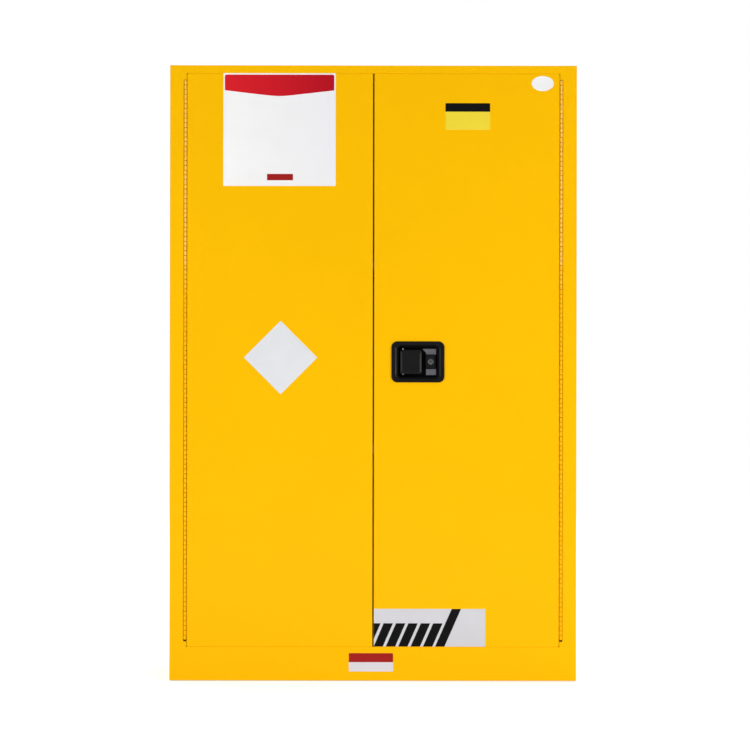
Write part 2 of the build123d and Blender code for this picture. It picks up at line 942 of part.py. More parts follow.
def door_skin(side):
    """The outer pan of a door: a front sheet folded back on four edges, with a return at the rear."""
    centre = side * door_middle_x
    with BuildPart() as skin:
        with BuildSketch(front_plane(door_fold)):
            with Locations((centre, door_middle_z)):
                RectangleRounded(door_width, door_height, door_corner_radius)
        extrude(amount=door_fold)
        chamfer(skin.faces().sort_by(Axis.Y)[0].edges(), length=door_edge_bevel)
        with BuildSketch(front_plane(door_fold)) as hollow:
            with Locations((centre, door_middle_z)):
                Rectangle(door_width - 2 * door_sheet, door_height - 2 * door_sheet)
            chamfer(hollow.vertices(), length=door_corner_radius)
        extrude(amount=door_fold - door_sheet, mode=Mode.SUBTRACT)
        with BuildSketch(front_plane(door_fold)):
            with Locations((centre, door_middle_z)):
                RectangleRounded(door_width, door_height, door_corner_radius)
                Rectangle(
                    door_width - 2 * door_return, door_height - 2 * door_return, mode=Mode.SUBTRACT
                )
        extrude(amount=door_sheet)
        if side > 0:
            cut_latch_openings()
        else:
            cut_centre_slot(side)
    return skin


def cut_latch_openings():
    """Openings in the right door for the latch pan, its studs, both rods and the centre bolt."""
    with BuildSketch(front_plane(-overrun)) as pan_openings:
        with Locations((latch_x, latch_z)):
            Rectangle(
                dish_width + 2 * (dish_wall + dish_clearance),
                dish_height + 2 * (dish_wall + dish_clearance),
            )
        chamfer(pan_openings.vertices(), length=pan_opening_corner)
        with Locations((latch_x, latch_z)):
            with GridLocations(pan_stud_span_x, pan_stud_span_z, 2, 2):
                RegularPolygon(pan_stud_radius + pan_stud_clearance, hex_sides)
    extrude(pan_openings.sketch, amount=-(door_sheet + 2 * overrun), mode=Mode.SUBTRACT)
    for x, z in ((upper_rod_x, door_top), (lower_rod_x, door_bottom)):
        with BuildSketch(Plane.XY.offset(z)) as rod_hole:
            with Locations((x, rod_y)):
                RegularPolygon(bullet_radius + bullet_hole_clearance, bore_sides, major_radius=False)
        extrude(rod_hole.sketch, amount=door_sheet + overrun, both=True, mode=Mode.SUBTRACT)
    cut_centre_slot(1)


def cut_centre_slot(side):
    """The slot in the meeting edge of a door through which the centre bolt slides."""
    with BuildSketch(Plane.YZ.offset(side * door_centre_edge_x)) as bolt_slot:
        with Locations((rod_y, bolt_z)):
            Rectangle(centre_slot_depth, bolt_height + keeper_margin / 2)
    extrude(bolt_slot.sketch, amount=door_sheet + overrun, both=True, mode=Mode.SUBTRACT)


def door_inner(side):
    """The inner panel of a door, with a drawn field that reaches into the opening of the frame."""
    centre = side * door_middle_x
    width = door_width - 2 * inner_panel_margin
    height = door_height - 2 * inner_panel_margin
    field_width = door_width - 2 * field_inset
    field_height = door_height - 2 * field_inset
    with BuildPart() as panel:
        with BuildSketch(front_plane(door_fold)):
            with Locations((centre, door_middle_z)):
                Rectangle(width, height)
        extrude(amount=-door_sheet)
        with BuildSketch(front_plane(inner_panel_back)) as field:
            with Locations((centre, door_middle_z)):
                Rectangle(field_width, field_height)
            chamfer(field.vertices(), length=field_corner)
        extrude(amount=-field_rise, taper=field_taper)
        with BuildSketch(front_plane(door_fold)) as hollow:
            with Locations((centre, door_middle_z)):
                Rectangle(field_width - 2 * door_sheet, field_height - 2 * door_sheet)
            chamfer(hollow.vertices(), length=field_corner)
        extrude(amount=-field_rise, taper=field_taper, mode=Mode.SUBTRACT)
    return panel


def door_stiffener(side):
    """A channel up the hinge half of a door, between its skin and its inner panel."""
    middle = side * (door_edge_x - stiffener_inset)
    foot = door_bottom + field_inset + stiffener_end_gap
    length = door_top - field_inset - stiffener_end_gap - foot
    with BuildPart() as channel:
        with BuildSketch(Plane.XY.offset(foot)):
            sheet_outline(
                [
                    at_depth(middle - stiffener_width / 2, field_front),
                    at_depth(middle - stiffener_width / 2, door_sheet),
                    at_depth(middle + stiffener_width / 2, door_sheet),
                    at_depth(middle + stiffener_width / 2, field_front),
                ],
                door_sheet,
                Side.LEFT,
            )
        extrude(amount=length)
    return channel


# Keepers


def frame_keepers():
    """Two slotted strike plates, behind the slot of the header and behind the slot of the sill."""
    places = (
        (upper_rod_x, header_bottom + frame_sheet, keeper_sheet),
        (lower_rod_x, sill_height - frame_sheet, -keeper_sheet),
    )
    with BuildPart() as keepers:
        for x, z, rise in places:
            with BuildSketch(Plane.XY.offset(z)):
                with Locations((x, rod_y)):
                    Rectangle(keeper_slot_width + 2 * keeper_margin, keeper_slot_depth + keeper_margin)
                    Rectangle(keeper_slot_width, keeper_slot_depth, mode=Mode.SUBTRACT)
            extrude(amount=rise)
    return keepers


def centre_keeper():
    """The strike plate inside the meeting edge of the left door."""
    slot_height = bolt_height + keeper_margin / 2
    with BuildPart() as keeper:
        with BuildSketch(Plane.YZ.offset(-(door_centre_edge_x + door_sheet))):
            with Locations((rod_y, bolt_z)):
                Rectangle(centre_slot_depth + 2 * keeper_lip, slot_height + 2 * keeper_margin)
                Rectangle(centre_slot_depth, slot_height, mode=Mode.SUBTRACT)
        extrude(amount=-keeper_sheet)
    return keeper


# Latch


def latch_pan():
    """The moulded pan: a rim with a wide sloping lip, a dish, two ears, a tail slot and a lock hole."""
    outer_dish_width = dish_width + 2 * dish_wall
    outer_dish_height = dish_height + 2 * dish_wall
    ear_middle = paddle_height / 2 + ear_clearance + ear_sheet / 2
    with BuildPart() as pan:
        with BuildSketch(front_plane(0)):
            with Locations((latch_x, latch_z)):
                RectangleRounded(bezel_width, bezel_height, bezel_corner_radius)
        extrude(amount=bezel_proud)
        chamfer(pan.faces().sort_by(Axis.Y)[0].edges(), length=bezel_bevel)
        with BuildSketch(front_plane(0)) as shell:
            with Locations((latch_x, latch_z)):
                Rectangle(outer_dish_width, outer_dish_height)
            chamfer(shell.vertices(), length=pan_opening_corner)
        extrude(amount=-(dish_depth + dish_wall))
        with BuildSketch(front_plane(-bezel_proud)):
            with Locations((latch_x, latch_z)):
                RectangleRounded(dish_width, dish_height, dish_corner_radius)
        extrude(amount=-(bezel_proud + dish_depth), taper=dish_taper, mode=Mode.SUBTRACT)
        rim = pan.faces().filter_by(Axis.Y).sort_by(Axis.Y)[0]
        chamfer(rim.inner_wires()[0].edges(), length=lip_width, length2=lip_drop, reference=rim)
        with BuildSketch(front_plane(ear_front_depth)):
            with Locations((pivot_x, latch_z - ear_middle), (pivot_x, latch_z + ear_middle)):
                Rectangle(ear_width, ear_sheet)
        extrude(amount=-(dish_depth - ear_front_depth))
        with BuildSketch(Plane.XY.offset(latch_z)):
            with Locations(at_depth(pivot_x, pivot_depth)):
                RegularPolygon(paddle_pin_radius + paddle_pin_clearance, bore_sides, major_radius=False)
        extrude(amount=ear_middle + ear_sheet / 2, both=True, mode=Mode.SUBTRACT)
        with BuildSketch(front_plane(dish_depth)):
            with Locations((pivot_x + tail_slot_clearance / 2, latch_z)):
                Rectangle(2 * tail_slot_reach, tail_height + 2 * tail_slot_clearance)
            with Locations((lock_x, lock_z)):
                RegularPolygon(lock_barrel_radius + lock_hole_clearance, bore_sides)
        extrude(amount=-(dish_wall + overrun), mode=Mode.SUBTRACT)
    return pan


def recess_plate():
    """The bright wear plate on the floor of the dish, with a slanting horn towards the paddle."""
    left = latch_x + recess_plate_left
    right = left + recess_plate_width
    foot = latch_z - recess_plate_height / 2
    top = latch_z + recess_plate_height / 2
    with BuildPart() as plate:
        with BuildSketch(front_plane(dish_depth)):
            with BuildLine():
                Polyline(
                    (left, foot),
                    (right, foot),
                    (right, top),
                    (left - recess_plate_horn, top),
                    (left, top - recess_plate_horn),
                    close=True,
                )
            make_face()
            with Locations((lock_x, lock_z)):
                RegularPolygon(lock_barrel_radius + lock_hole_clearance, bore_sides, mode=Mode.SUBTRACT)
        extrude(amount=recess_plate_sheet)
    return plate


def paddle():
    """The paddle plate with bevelled edges, its pivot barrel and the tail that works the hub."""
    left = pivot_x - pivot_inset
    back = paddle_recess + paddle_sheet
    spring_foot = latch_z + spring_place
    spring_length = spring_turns * spring_pitch + 2 * spring_end_gap + spring_wire
    barrel_half = paddle_height / 2
    with BuildPart() as lever:
        with BuildSketch(front_plane(back)):
            with Locations((left + paddle_width / 2, latch_z)):
                Rectangle(paddle_width, paddle_height)
        extrude(amount=paddle_sheet)
        front_face = lever.faces().sort_by(Axis.Y)[0]
        chamfer(
            front_face.edges(), length=paddle_bevel_width, length2=paddle_bevel_drop, reference=front_face
        )
        with BuildSketch(Plane.XY.offset(latch_z - barrel_half)):
            with Locations(at_depth(pivot_x, pivot_depth)):
                RegularPolygon(barrel_radius, bore_sides, major_radius=False)
            with Locations(at_depth(pivot_x, back)):
                Rectangle(barrel_web, pivot_depth - back, align=(Align.CENTER, Align.MIN))
        extrude(amount=2 * barrel_half)
        with BuildSketch(Plane.XY.offset(latch_z - tail_height / 2)):
            with Locations(at_depth(pivot_x, pivot_depth)):
                Rectangle(tail_sheet, tail_reach, align=(Align.CENTER, Align.MIN))
            with Locations(at_depth(pivot_x, pivot_depth + tail_reach)):
                Circle(tail_tip_radius)
        extrude(amount=tail_height)
        with BuildSketch(Plane.XY.offset(spring_foot)):
            with Locations(at_depth(pivot_x, back)):
                Rectangle(
                    2 * barrel_radius + barrel_web,
                    2 * barrel_radius + spring_radius,
                    align=(Align.CENTER, Align.MIN),
                )
        extrude(amount=spring_length, mode=Mode.SUBTRACT)
        with BuildSketch(Plane.XY.offset(latch_z)):
            with Locations(at_depth(pivot_x, pivot_depth)):
                RegularPolygon(paddle_pin_radius + paddle_pin_clearance, bore_sides, major_radius=False)
        extrude(amount=barrel_half + overrun, both=True, mode=Mode.SUBTRACT)
    return lever


def paddle_pin():
    """The pin that carries the paddle between the two ears of the pan."""
    half_length = paddle_height / 2 + ear_clearance + ear_sheet
    with BuildPart() as pin:
        with BuildSketch(Plane.XY.offset(latch_z - half_length)):
            with Locations(at_depth(pivot_x, pivot_depth)):
                Circle(paddle_pin_radius)
        extrude(amount=2 * half_length)
    return pin


def paddle_spring():
    """The coiled return spring round the paddle pin, wound of square wire in straight lengths."""
    foot = latch_z + spring_place + spring_end_gap + spring_wire / 2
    middle = Vector(*at_depth(pivot_x, pivot_depth), foot)
    bends = range(spring_turns * spring_sides + 1)
    climb = spring_pitch / spring_sides
    turn = 360 / spring_sides
    coil = [middle + Vector(spring_radius, 0, bend * climb).rotate(Axis.Z, bend * turn) for bend in bends]
    with BuildPart() as spring:
        with BuildLine():
            Polyline(*coil)
        with BuildSketch(Plane(origin=coil[0], z_dir=coil[1] - coil[0])):
            Rectangle(spring_wire, spring_wire)
        sweep(transition=Transition.RIGHT)
    return spring


# Latch works


def latch_hub():
    """The three-armed hub that draws both rods and the centre bolt together."""
    with BuildPart() as hub:
        with BuildSketch(front_plane(hub_depth)) as arms:
            with Locations((hub_x, hub_z)):
                Rectangle(2 * rod_arm + hub_arm_width, hub_arm_width)
            with Locations((hub_x, hub_z)):
                Rectangle(hub_arm_width, bolt_arm + hub_arm_width / 2, align=(Align.CENTER, Align.MIN))
            chamfer(arms.vertices(), length=hub_arm_bevel)
            with Locations((hub_x, hub_z)):
                Circle(axle_radius + axle_clearance, mode=Mode.SUBTRACT)
        extrude(amount=-hub_sheet)
    return hub


def hub_pins():
    """Four pins riveted to the hub: two for the rods, one for the bolt and one for the paddle's tail."""
    with BuildPart() as pins:
        with BuildSketch(front_plane(hub_depth)):
            with Locations(
                (lower_rod_x, hub_z), (upper_rod_x, hub_z), (hub_x, bolt_z), (hub_x, hub_z + tail_reach)
            ):
                RegularPolygon(hub_pin_radius, hub_pin_sides)
        extrude(amount=hub_depth - hub_pin_front)
    return pins


def hub_axle():
    """The shouldered rivet on the back plate that the hub turns on."""
    shoulder = hub_depth + hub_sheet + latch_clearance
    head_back = hub_depth - latch_clearance
    with BuildPart() as axle:
        with BuildSketch(front_plane(back_plate_depth)):
            with Locations((hub_x, hub_z)):
                RegularPolygon(axle_head_radius, hex_sides)
        extrude(amount=back_plate_depth - shoulder)
        with BuildSketch(front_plane(shoulder)):
            with Locations((hub_x, hub_z)):
                Circle(axle_radius)
        extrude(amount=shoulder - head_back)
        with BuildSketch(front_plane(head_back)):
            with Locations((hub_x, hub_z)):
                RegularPolygon(axle_head_radius, hex_sides)
        extrude(amount=axle_head_sheet)
    return axle


def latch_back_plate():
    """The plate behind the works, held off the pan by four studs."""
    with BuildPart() as plate:
        with BuildSketch(front_plane(back_plate_depth)) as outline:
            with Locations((latch_x, latch_z)):
                Rectangle(back_plate_width, back_plate_height)
            chamfer(outline.vertices(), length=back_plate_corner)
        extrude(amount=-back_plate_sheet)
    return plate


def pan_studs():
    """Four hexagonal studs that clamp the rim of the pan to the door and carry the back plate."""
    with BuildPart() as studs:
        with BuildSketch(front_plane(back_plate_depth)):
            with Locations((latch_x, latch_z)):
                with GridLocations(pan_stud_span_x, pan_stud_span_z, 2, 2):
                    RegularPolygon(pan_stud_radius, hex_sides)
        extrude(amount=back_plate_depth)
    return studs


def latch_rod(x, tip, toward):
    """A long rod with a slotted eye at the hub and a bullet nose at the edge of the door."""
    shoulder = tip - toward * bullet_length
    with BuildPart() as rod:
        with BuildSketch(front_plane(rod_depth + eye_sheet / 2)):
            with Locations((x, hub_z)):
                Rectangle(eye_width, eye_height)
                Rectangle(
                    2 * (eye_slot_play + hub_pin_radius + slot_clearance),
                    2 * (hub_pin_radius + slot_clearance),
                    mode=Mode.SUBTRACT,
                )
        extrude(amount=eye_sheet)
        with BuildSketch(Plane.XY.offset(hub_z + toward * eye_height / 2)):
            with Locations((x, rod_y)):
                RegularPolygon(rod_radius, bore_sides)
        extrude(amount=shoulder - hub_z - toward * eye_height / 2)
        with BuildSketch(Plane.XY.offset(shoulder)):
            with Locations((x, rod_y)):
                Circle(bullet_radius)
        extrude(amount=toward * bullet_length)
        nose = rod.edges().filter_by(GeomType.CIRCLE).sort_by(Axis.Z)[-1 if toward > 0 else 0]
        chamfer(nose, length=bullet_nose)
    return rod


def centre_bolt():
    """The flat bolt that shoots from the right door into the left door."""
    nose = door_centre_edge_x - tip_proud
    tail = hub_x + bolt_tail
    slot_width = 2 * (hub_pin_radius + slot_clearance)
    with BuildPart() as bolt:
        with BuildSketch(front_plane(rod_depth + bolt_sheet / 2)):
            with BuildLine():
                Polyline(
                    (nose, bolt_z - bolt_height / 2 + bolt_nose),
                    (nose + bolt_nose, bolt_z - bolt_height / 2),
                    (tail, bolt_z - bolt_height / 2),
                    (tail, bolt_z + bolt_height / 2),
                    (nose + bolt_nose, bolt_z + bolt_height / 2),
                    (nose, bolt_z + bolt_height / 2 - bolt_nose),
                    close=True,
                )
            make_face()
            with Locations((hub_x, bolt_z - bolt_height / 2)):
                Rectangle(
                    slot_width,
                    bolt_height / 2 + hub_pin_radius + slot_clearance,
                    align=(Align.CENTER, Align.MIN),
                    mode=Mode.SUBTRACT,
                )
        extrude(amount=bolt_sheet)
    return bolt


def rod_guides():
    """Four angle brackets on the door skin, each with a hole that guides a rod."""
    tab_end = rod_depth + rod_radius + guide_overhang
    upper_places = [(upper_rod_x, z) for z in upper_guide_heights]
    lower_places = [(lower_rod_x, z) for z in lower_guide_heights]
    with BuildPart() as guides:
        for x, z in upper_places + lower_places:
            with BuildSketch(Plane.YZ.offset(x - guide_width / 2)):
                sheet_outline(
                    [
                        (front_y + door_sheet, z - guide_foot),
                        (front_y + door_sheet, z),
                        (front_y + tab_end, z),
                    ],
                    guide_sheet,
                    Side.RIGHT,
                )
            extrude(amount=guide_width)
            with BuildSketch(Plane.XY.offset(z)):
                with Locations((x, rod_y)):
                    RegularPolygon(rod_radius + guide_rod_clearance, bore_sides, major_radius=False)
            extrude(amount=-guide_sheet, mode=Mode.SUBTRACT)
    return guides


# Lock


def lock_housing():
    """The block in the dish that holds the key plug, with its barrel through the floor of the pan."""
    seat = dish_depth - recess_plate_sheet
    with BuildPart() as housing:
        with BuildSketch(front_plane(seat)):
            with Locations((lock_x, lock_z)):
                Rectangle(lock_boss_width, lock_boss_height)
        extrude(amount=seat - lock_boss_depth)
        chamfer(housing.faces().sort_by(Axis.Y)[0].edges(), length=lock_boss_bevel)
        with BuildSketch(front_plane(seat)):
            with Locations((lock_x, lock_z)):
                RegularPolygon(lock_barrel_radius, bore_sides)
        extrude(amount=-(lock_rear_depth - seat))
        with BuildSketch(front_plane(lock_rear_depth)):
            with Locations((lock_x, lock_z)):
                Circle(plug_radius + plug_clearance)
        extrude(amount=lock_rear_depth, mode=Mode.SUBTRACT)
    return housing


def lock_plug():
    """The turning plug with its key slot."""
    front = lock_boss_depth - plug_proud
    rear = lock_rear_depth + cam_gap
    with BuildPart() as plug:
        with BuildSketch(front_plane(rear)):
            with Locations((lock_x, lock_z)):
                Circle(plug_radius)
        extrude(amount=rear - front)
        with BuildSketch(front_plane(front)):
            with Locations((lock_x, lock_z)):
                Rectangle(key_slot_width, key_slot_height)
        extrude(amount=-key_slot_depth, mode=Mode.SUBTRACT)
    return plug


def lock_cam():
    """The tongue on the rear end of the key plug, hanging down while unlocked."""
    with BuildPart() as cam:
        with BuildSketch(front_plane(lock_rear_depth + cam_gap)) as tongue:
            with Locations((lock_x, lock_z - cam_reach / 2)):
                Rectangle(cam_width, cam_reach + cam_width)
            chamfer(tongue.vertices(), length=cam_bevel)
        extrude(amount=-cam_sheet)
    return cam


pieces = {
    "top_panel": top_panel(),
    "left_side_panel": side_panel(-1),
    "right_side_panel": side_panel(1),
    "back_panel": back_panel(),
    "base_pan": base_pan(),
    "frame_header": header(),
    "frame_left_stile": stile(-1),
    "frame_right_stile": stile(1),
    "frame_sill": sill(),
    "header_stop": header_stop(),
    "sill_stop": sill_stop(),
    "liner_top": liner_top(),
    "liner_left": liner_side(-1),
    "liner_right": liner_side(1),
    "liner_back": liner_back(),
    "sump_floor": sump_floor(),
    "sump_dam": sump_dam(),
    "wall_spacers": wall_spacers(),
    "shelf_rails": shelf_rails(),
    "shelf_clips": shelf_clips(),
    "lower_shelf": shelf(shelf_heights[0]),
    "upper_shelf": shelf(shelf_heights[1]),
    "vent_sleeves": vent_sleeves(),
    "flame_arresters": flame_arresters(),
    "left_vent_cap": vent_cap(-1),
    "right_vent_cap": vent_cap(1),
    "ground_stud": ground_stud(),
    "ground_nut": ground_nut(),
    "levelling_feet": levelling_feet(),
    "foot_nut_plates": foot_nut_plates(),
    "left_frame_leaf": hinge_leaf(-1, 1, 0),
    "right_frame_leaf": hinge_leaf(1, 1, 0),
    "left_door_leaf": hinge_leaf(-1, -1, 1),
    "right_door_leaf": hinge_leaf(1, -1, 1),
    "hinge_pins": hinge_pins(),
    "left_door_skin": door_skin(-1),
    "right_door_skin": door_skin(1),
    "left_door_inner": door_inner(-1),
    "right_door_inner": door_inner(1),
    "left_door_stiffener": door_stiffener(-1),
    "right_door_stiffener": door_stiffener(1),
    "frame_keepers": frame_keepers(),
    "centre_keeper": centre_keeper(),
    "latch_pan": latch_pan(),
    "recess_plate": recess_plate(),
    "paddle": paddle(),
    "paddle_pin": paddle_pin(),
    "paddle_spring": paddle_spring(),
    "latch_hub": latch_hub(),
    "hub_pins": hub_pins(),
    "hub_axle": hub_axle(),
    "latch_back_plate": latch_back_plate(),
    "pan_studs": pan_studs(),
    "upper_rod": latch_rod(upper_rod_x, door_top + tip_proud, 1),
    "lower_rod": latch_rod(lower_rod_x, door_bottom - tip_proud, -1),
    "centre_bolt": centre_bolt(),
    "rod_guides": rod_guides(),
    "lock_housing": lock_housing(),
    "lock_plug": lock_plug(),
    "lock_cam": lock_cam(),
}

os.makedirs("parts", exist_ok=True)
for name, piece in pieces.items():
    piece.part.label = name
    export_step(piece.part, f"parts/{name}.step")
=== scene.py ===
import json
import math

import bmesh
import bpy
from mathutils import Matrix, Vector


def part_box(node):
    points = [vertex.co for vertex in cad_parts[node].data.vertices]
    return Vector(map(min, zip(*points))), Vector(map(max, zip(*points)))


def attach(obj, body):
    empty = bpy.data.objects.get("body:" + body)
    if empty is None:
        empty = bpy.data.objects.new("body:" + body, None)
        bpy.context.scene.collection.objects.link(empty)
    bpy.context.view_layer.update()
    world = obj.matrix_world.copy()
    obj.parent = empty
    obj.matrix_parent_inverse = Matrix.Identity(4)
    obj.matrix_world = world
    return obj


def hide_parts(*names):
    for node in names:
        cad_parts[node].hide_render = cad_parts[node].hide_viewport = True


# Flammable safety cabinet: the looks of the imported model. Lengths are in metres, in the frame of the solids:
# +Z is up, the front faces -Y, and the origin is on the floor under the middle of the cabinet.

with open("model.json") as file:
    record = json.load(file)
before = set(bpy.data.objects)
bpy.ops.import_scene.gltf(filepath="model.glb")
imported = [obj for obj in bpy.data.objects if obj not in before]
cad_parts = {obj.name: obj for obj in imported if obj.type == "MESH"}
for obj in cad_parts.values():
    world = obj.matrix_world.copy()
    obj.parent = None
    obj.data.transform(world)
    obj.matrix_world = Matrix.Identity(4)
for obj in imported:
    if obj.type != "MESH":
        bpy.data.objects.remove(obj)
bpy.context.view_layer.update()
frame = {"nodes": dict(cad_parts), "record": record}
nodes = frame["nodes"]

MM = 0.001


def low(node):
    """Lowest corner of a CAD node."""
    return Vector(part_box(node)[0])


def high(node):
    """Highest corner of a CAD node."""
    return Vector(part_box(node)[1])


def middle(node):
    """Middle of a CAD node's box."""
    return (low(node) + high(node)) / 2


# Places read from the frame
FRONT_Y = low("right_door_skin").y
CASE_LEFT = low("frame_left_stile").x
CASE_RIGHT = high("frame_right_stile").x
CASE_TOP = high("frame_header").z
CASE_FOOT = low("frame_sill").z
CASE_WIDTH = CASE_RIGHT - CASE_LEFT
DOOR_TOP = high("right_door_skin").z
DOOR_FOOT = low("right_door_skin").z
RIGHT_DOOR_EDGE = low("right_door_skin").x
HINGE_FOOT = low("hinge_pins").z
HINGE_TOP = high("hinge_pins").z
HINGE_PIN_RADIUS = (high("hinge_pins").y - low("hinge_pins").y) / 2
HINGE_X = high("hinge_pins").x - HINGE_PIN_RADIUS
HINGE_Y = low("hinge_pins").y + HINGE_PIN_RADIUS

# The photograph, in its pixels: the sides, top and foot of the case, and the turn of the picture
PHOTO_SIZE = 750
PHOTO_CASE_LEFT = 169.9
PHOTO_CASE_RIGHT = 576.3
PHOTO_CASE_TOP = 65.1
PHOTO_CASE_FOOT = 681.0
PHOTO_TURN = math.radians(0.09)

# Materials: waves are counted to the metre, and tones are the darkest and the lightest share of a tint

NOISE_LOW, NOISE_HIGH = 0.3, 0.7
FINE_DETAIL = 3.0
EDGE_SAMPLES = 4
EDGE_TURNED_COSINE, EDGE_FLAT_COSINE = 0.8, 0.995
# Sockets of a Mix node that mixes colours
MIX_SHARE, MIX_FIRST, MIX_SECOND, MIX_RESULT = 0, 6, 7, 2


def new_tree(name):
    """A material with a principled shader, its node tree and that shader."""
    material = bpy.data.materials.new(name)
    material.use_nodes = True
    tree = material.node_tree
    tree.nodes.clear()
    shader = tree.nodes.new("ShaderNodeBsdfPrincipled")
    output = tree.nodes.new("ShaderNodeOutputMaterial")
    tree.links.new(shader.outputs["BSDF"], output.inputs["Surface"])
    return material, tree, shader


def add_node(tree, kind, inputs=(), **settings):
    """A node with its settings; an input is either a value or the socket it is linked to."""
    made = tree.nodes.new(kind)
    for key, value in settings.items():
        setattr(made, key, value)
    for socket, value in dict(inputs).items():
        if isinstance(value, bpy.types.NodeSocket):
            tree.links.new(value, made.inputs[socket])
        else:
            made.inputs[socket].default_value = value
    return made


def object_place(tree, stretch=(1, 1, 1)):
    """Object coordinates in metres, stretched along the axes."""
    coordinate = add_node(tree, "ShaderNodeTexCoord")
    mapping = add_node(tree, "ShaderNodeMapping", {"Vector": coordinate.outputs["Object"], "Scale": stretch})
    return mapping.outputs["Vector"]


def along_axis(tree, axis, start, end):
    """0 before one place on an axis of the object, 1 after another and a slope between them."""
    coordinate = add_node(tree, "ShaderNodeTexCoord")
    split = add_node(tree, "ShaderNodeSeparateXYZ", {"Vector": coordinate.outputs["Object"]})
    return remap(tree, split.outputs[axis], 0.0, 1.0, start, end)


def noise(tree, place, scale, detail=2.0, roughness=0.5):
    """Noise with so many waves to the metre."""
    inputs = {"Vector": place, "Scale": scale, "Detail": detail, "Roughness": roughness}
    return add_node(tree, "ShaderNodeTexNoise", inputs).outputs["Fac"]


def remap(tree, value, lowest, highest, start=NOISE_LOW, end=NOISE_HIGH):
    """A band of a value, by default the one that noise fills, spread between two limits."""
    made = add_node(
        tree,
        "ShaderNodeMapRange",
        {"Value": value, "From Min": start, "From Max": end, "To Min": lowest, "To Max": highest},
    )
    return made.outputs["Result"]


def blend(tree, share, first, second):
    """A mix of two colours; each is a colour or a socket."""
    made = add_node(tree, "ShaderNodeMix", data_type="RGBA")
    for index, value in ((MIX_SHARE, share), (MIX_FIRST, first), (MIX_SECOND, second)):
        if isinstance(value, bpy.types.NodeSocket):
            tree.links.new(value, made.inputs[index])
        else:
            made.inputs[index].default_value = value
    return made.outputs[MIX_RESULT]


def relief(tree, height, strength, distance):
    """A bump from a height."""
    inputs = {"Height": height, "Strength": strength, "Distance": distance}
    return add_node(tree, "ShaderNodeBump", inputs).outputs["Normal"]


def edge_mask(tree, reach):
    """1 along convex and concave edges, 0 on flats, within a reach."""
    rounded = add_node(tree, "ShaderNodeBevel", {"Radius": reach}, samples=EDGE_SAMPLES)
    geometry = add_node(tree, "ShaderNodeNewGeometry")
    parallel = add_node(
        tree,
        "ShaderNodeVectorMath",
        {0: rounded.outputs["Normal"], 1: geometry.outputs["Normal"]},
        operation="DOT_PRODUCT",
    )
    return remap(tree, parallel.outputs["Value"], 1.0, 0.0, EDGE_TURNED_COSINE, EDGE_FLAT_COSINE)


def larger(tree, first, second):
    """The larger of two values."""
    return add_node(tree, "ShaderNodeMath", {0: first, 1: second}, operation="MAXIMUM").outputs["Value"]


def colour(red, green, blue):
    """An opaque colour in linear light."""
    return (red, green, blue, 1.0)


def shade(tint, factor):
    """A colour made darker or lighter."""
    return colour(*(min(channel * factor, 1.0) for channel in tint[:3]))


def toned(tree, share, tint, tones):
    """A tint between its darkest and its lightest tone."""
    darkest, lightest = tones
    return blend(tree, share, shade(tint, darkest), shade(tint, lightest))


PAINT_CLOUD_WAVES, PAINT_GLOSS_WAVES, PAINT_PEEL_WAVES = 2.5, 30.0, 420.0
PAINT_TONES = (0.985, 1.015)
PAINT_PEEL_DEPTH = 0.3 * MM
PAINT_EDGE_REACH = 1.2 * MM


def paint(name, tint, specular, roughness=(0.34, 0.42), peel=0.05, edge_wear_and_highlight=1.06):
    """Powder coat: faint clouding, a fine orange peel and lightened edges, partly where the coat is drawn thin
    and partly as painted highlight.
    """
    material, tree, shader = new_tree(name)
    place = object_place(tree)
    cloud = remap(tree, noise(tree, place, PAINT_CLOUD_WAVES, FINE_DETAIL), 0.0, 1.0)
    tone = toned(tree, cloud, tint, PAINT_TONES)
    # Lighter edges: partly thin coat, partly painted highlight
    worn_and_highlit = blend(tree, edge_mask(tree, PAINT_EDGE_REACH), tone, shade(tint, edge_wear_and_highlight))
    gloss = remap(tree, noise(tree, place, PAINT_GLOSS_WAVES, FINE_DETAIL), *roughness)
    bumps = relief(tree, noise(tree, place, PAINT_PEEL_WAVES), peel, PAINT_PEEL_DEPTH)
    tree.links.new(worn_and_highlit, shader.inputs["Base Color"])
    tree.links.new(gloss, shader.inputs["Roughness"])
    tree.links.new(bumps, shader.inputs["Normal"])
    shader.inputs["Specular IOR Level"].default_value = specular
    return material


# Stretches of the grain along the axes: its lines lie across the axes with the large numbers
GRAIN_LEVEL, GRAIN_TURNED, GRAIN_DRAWN, GRAIN_BRUSHED = (6, 6, 160), (160, 6, 6), (160, 160, 6), (140, 6, 6)
STREAK_WAVES, STREAK_DETAIL, STREAK_ROUGHNESS = 12.0, 4.0, 0.6
STREAK_TONES = (0.86, 1.1)
STREAK_DEPTH = 0.1 * MM
FLAKE_TONES = (0.9, 1.06)
STEEL_EDGE_REACH = 0.6 * MM


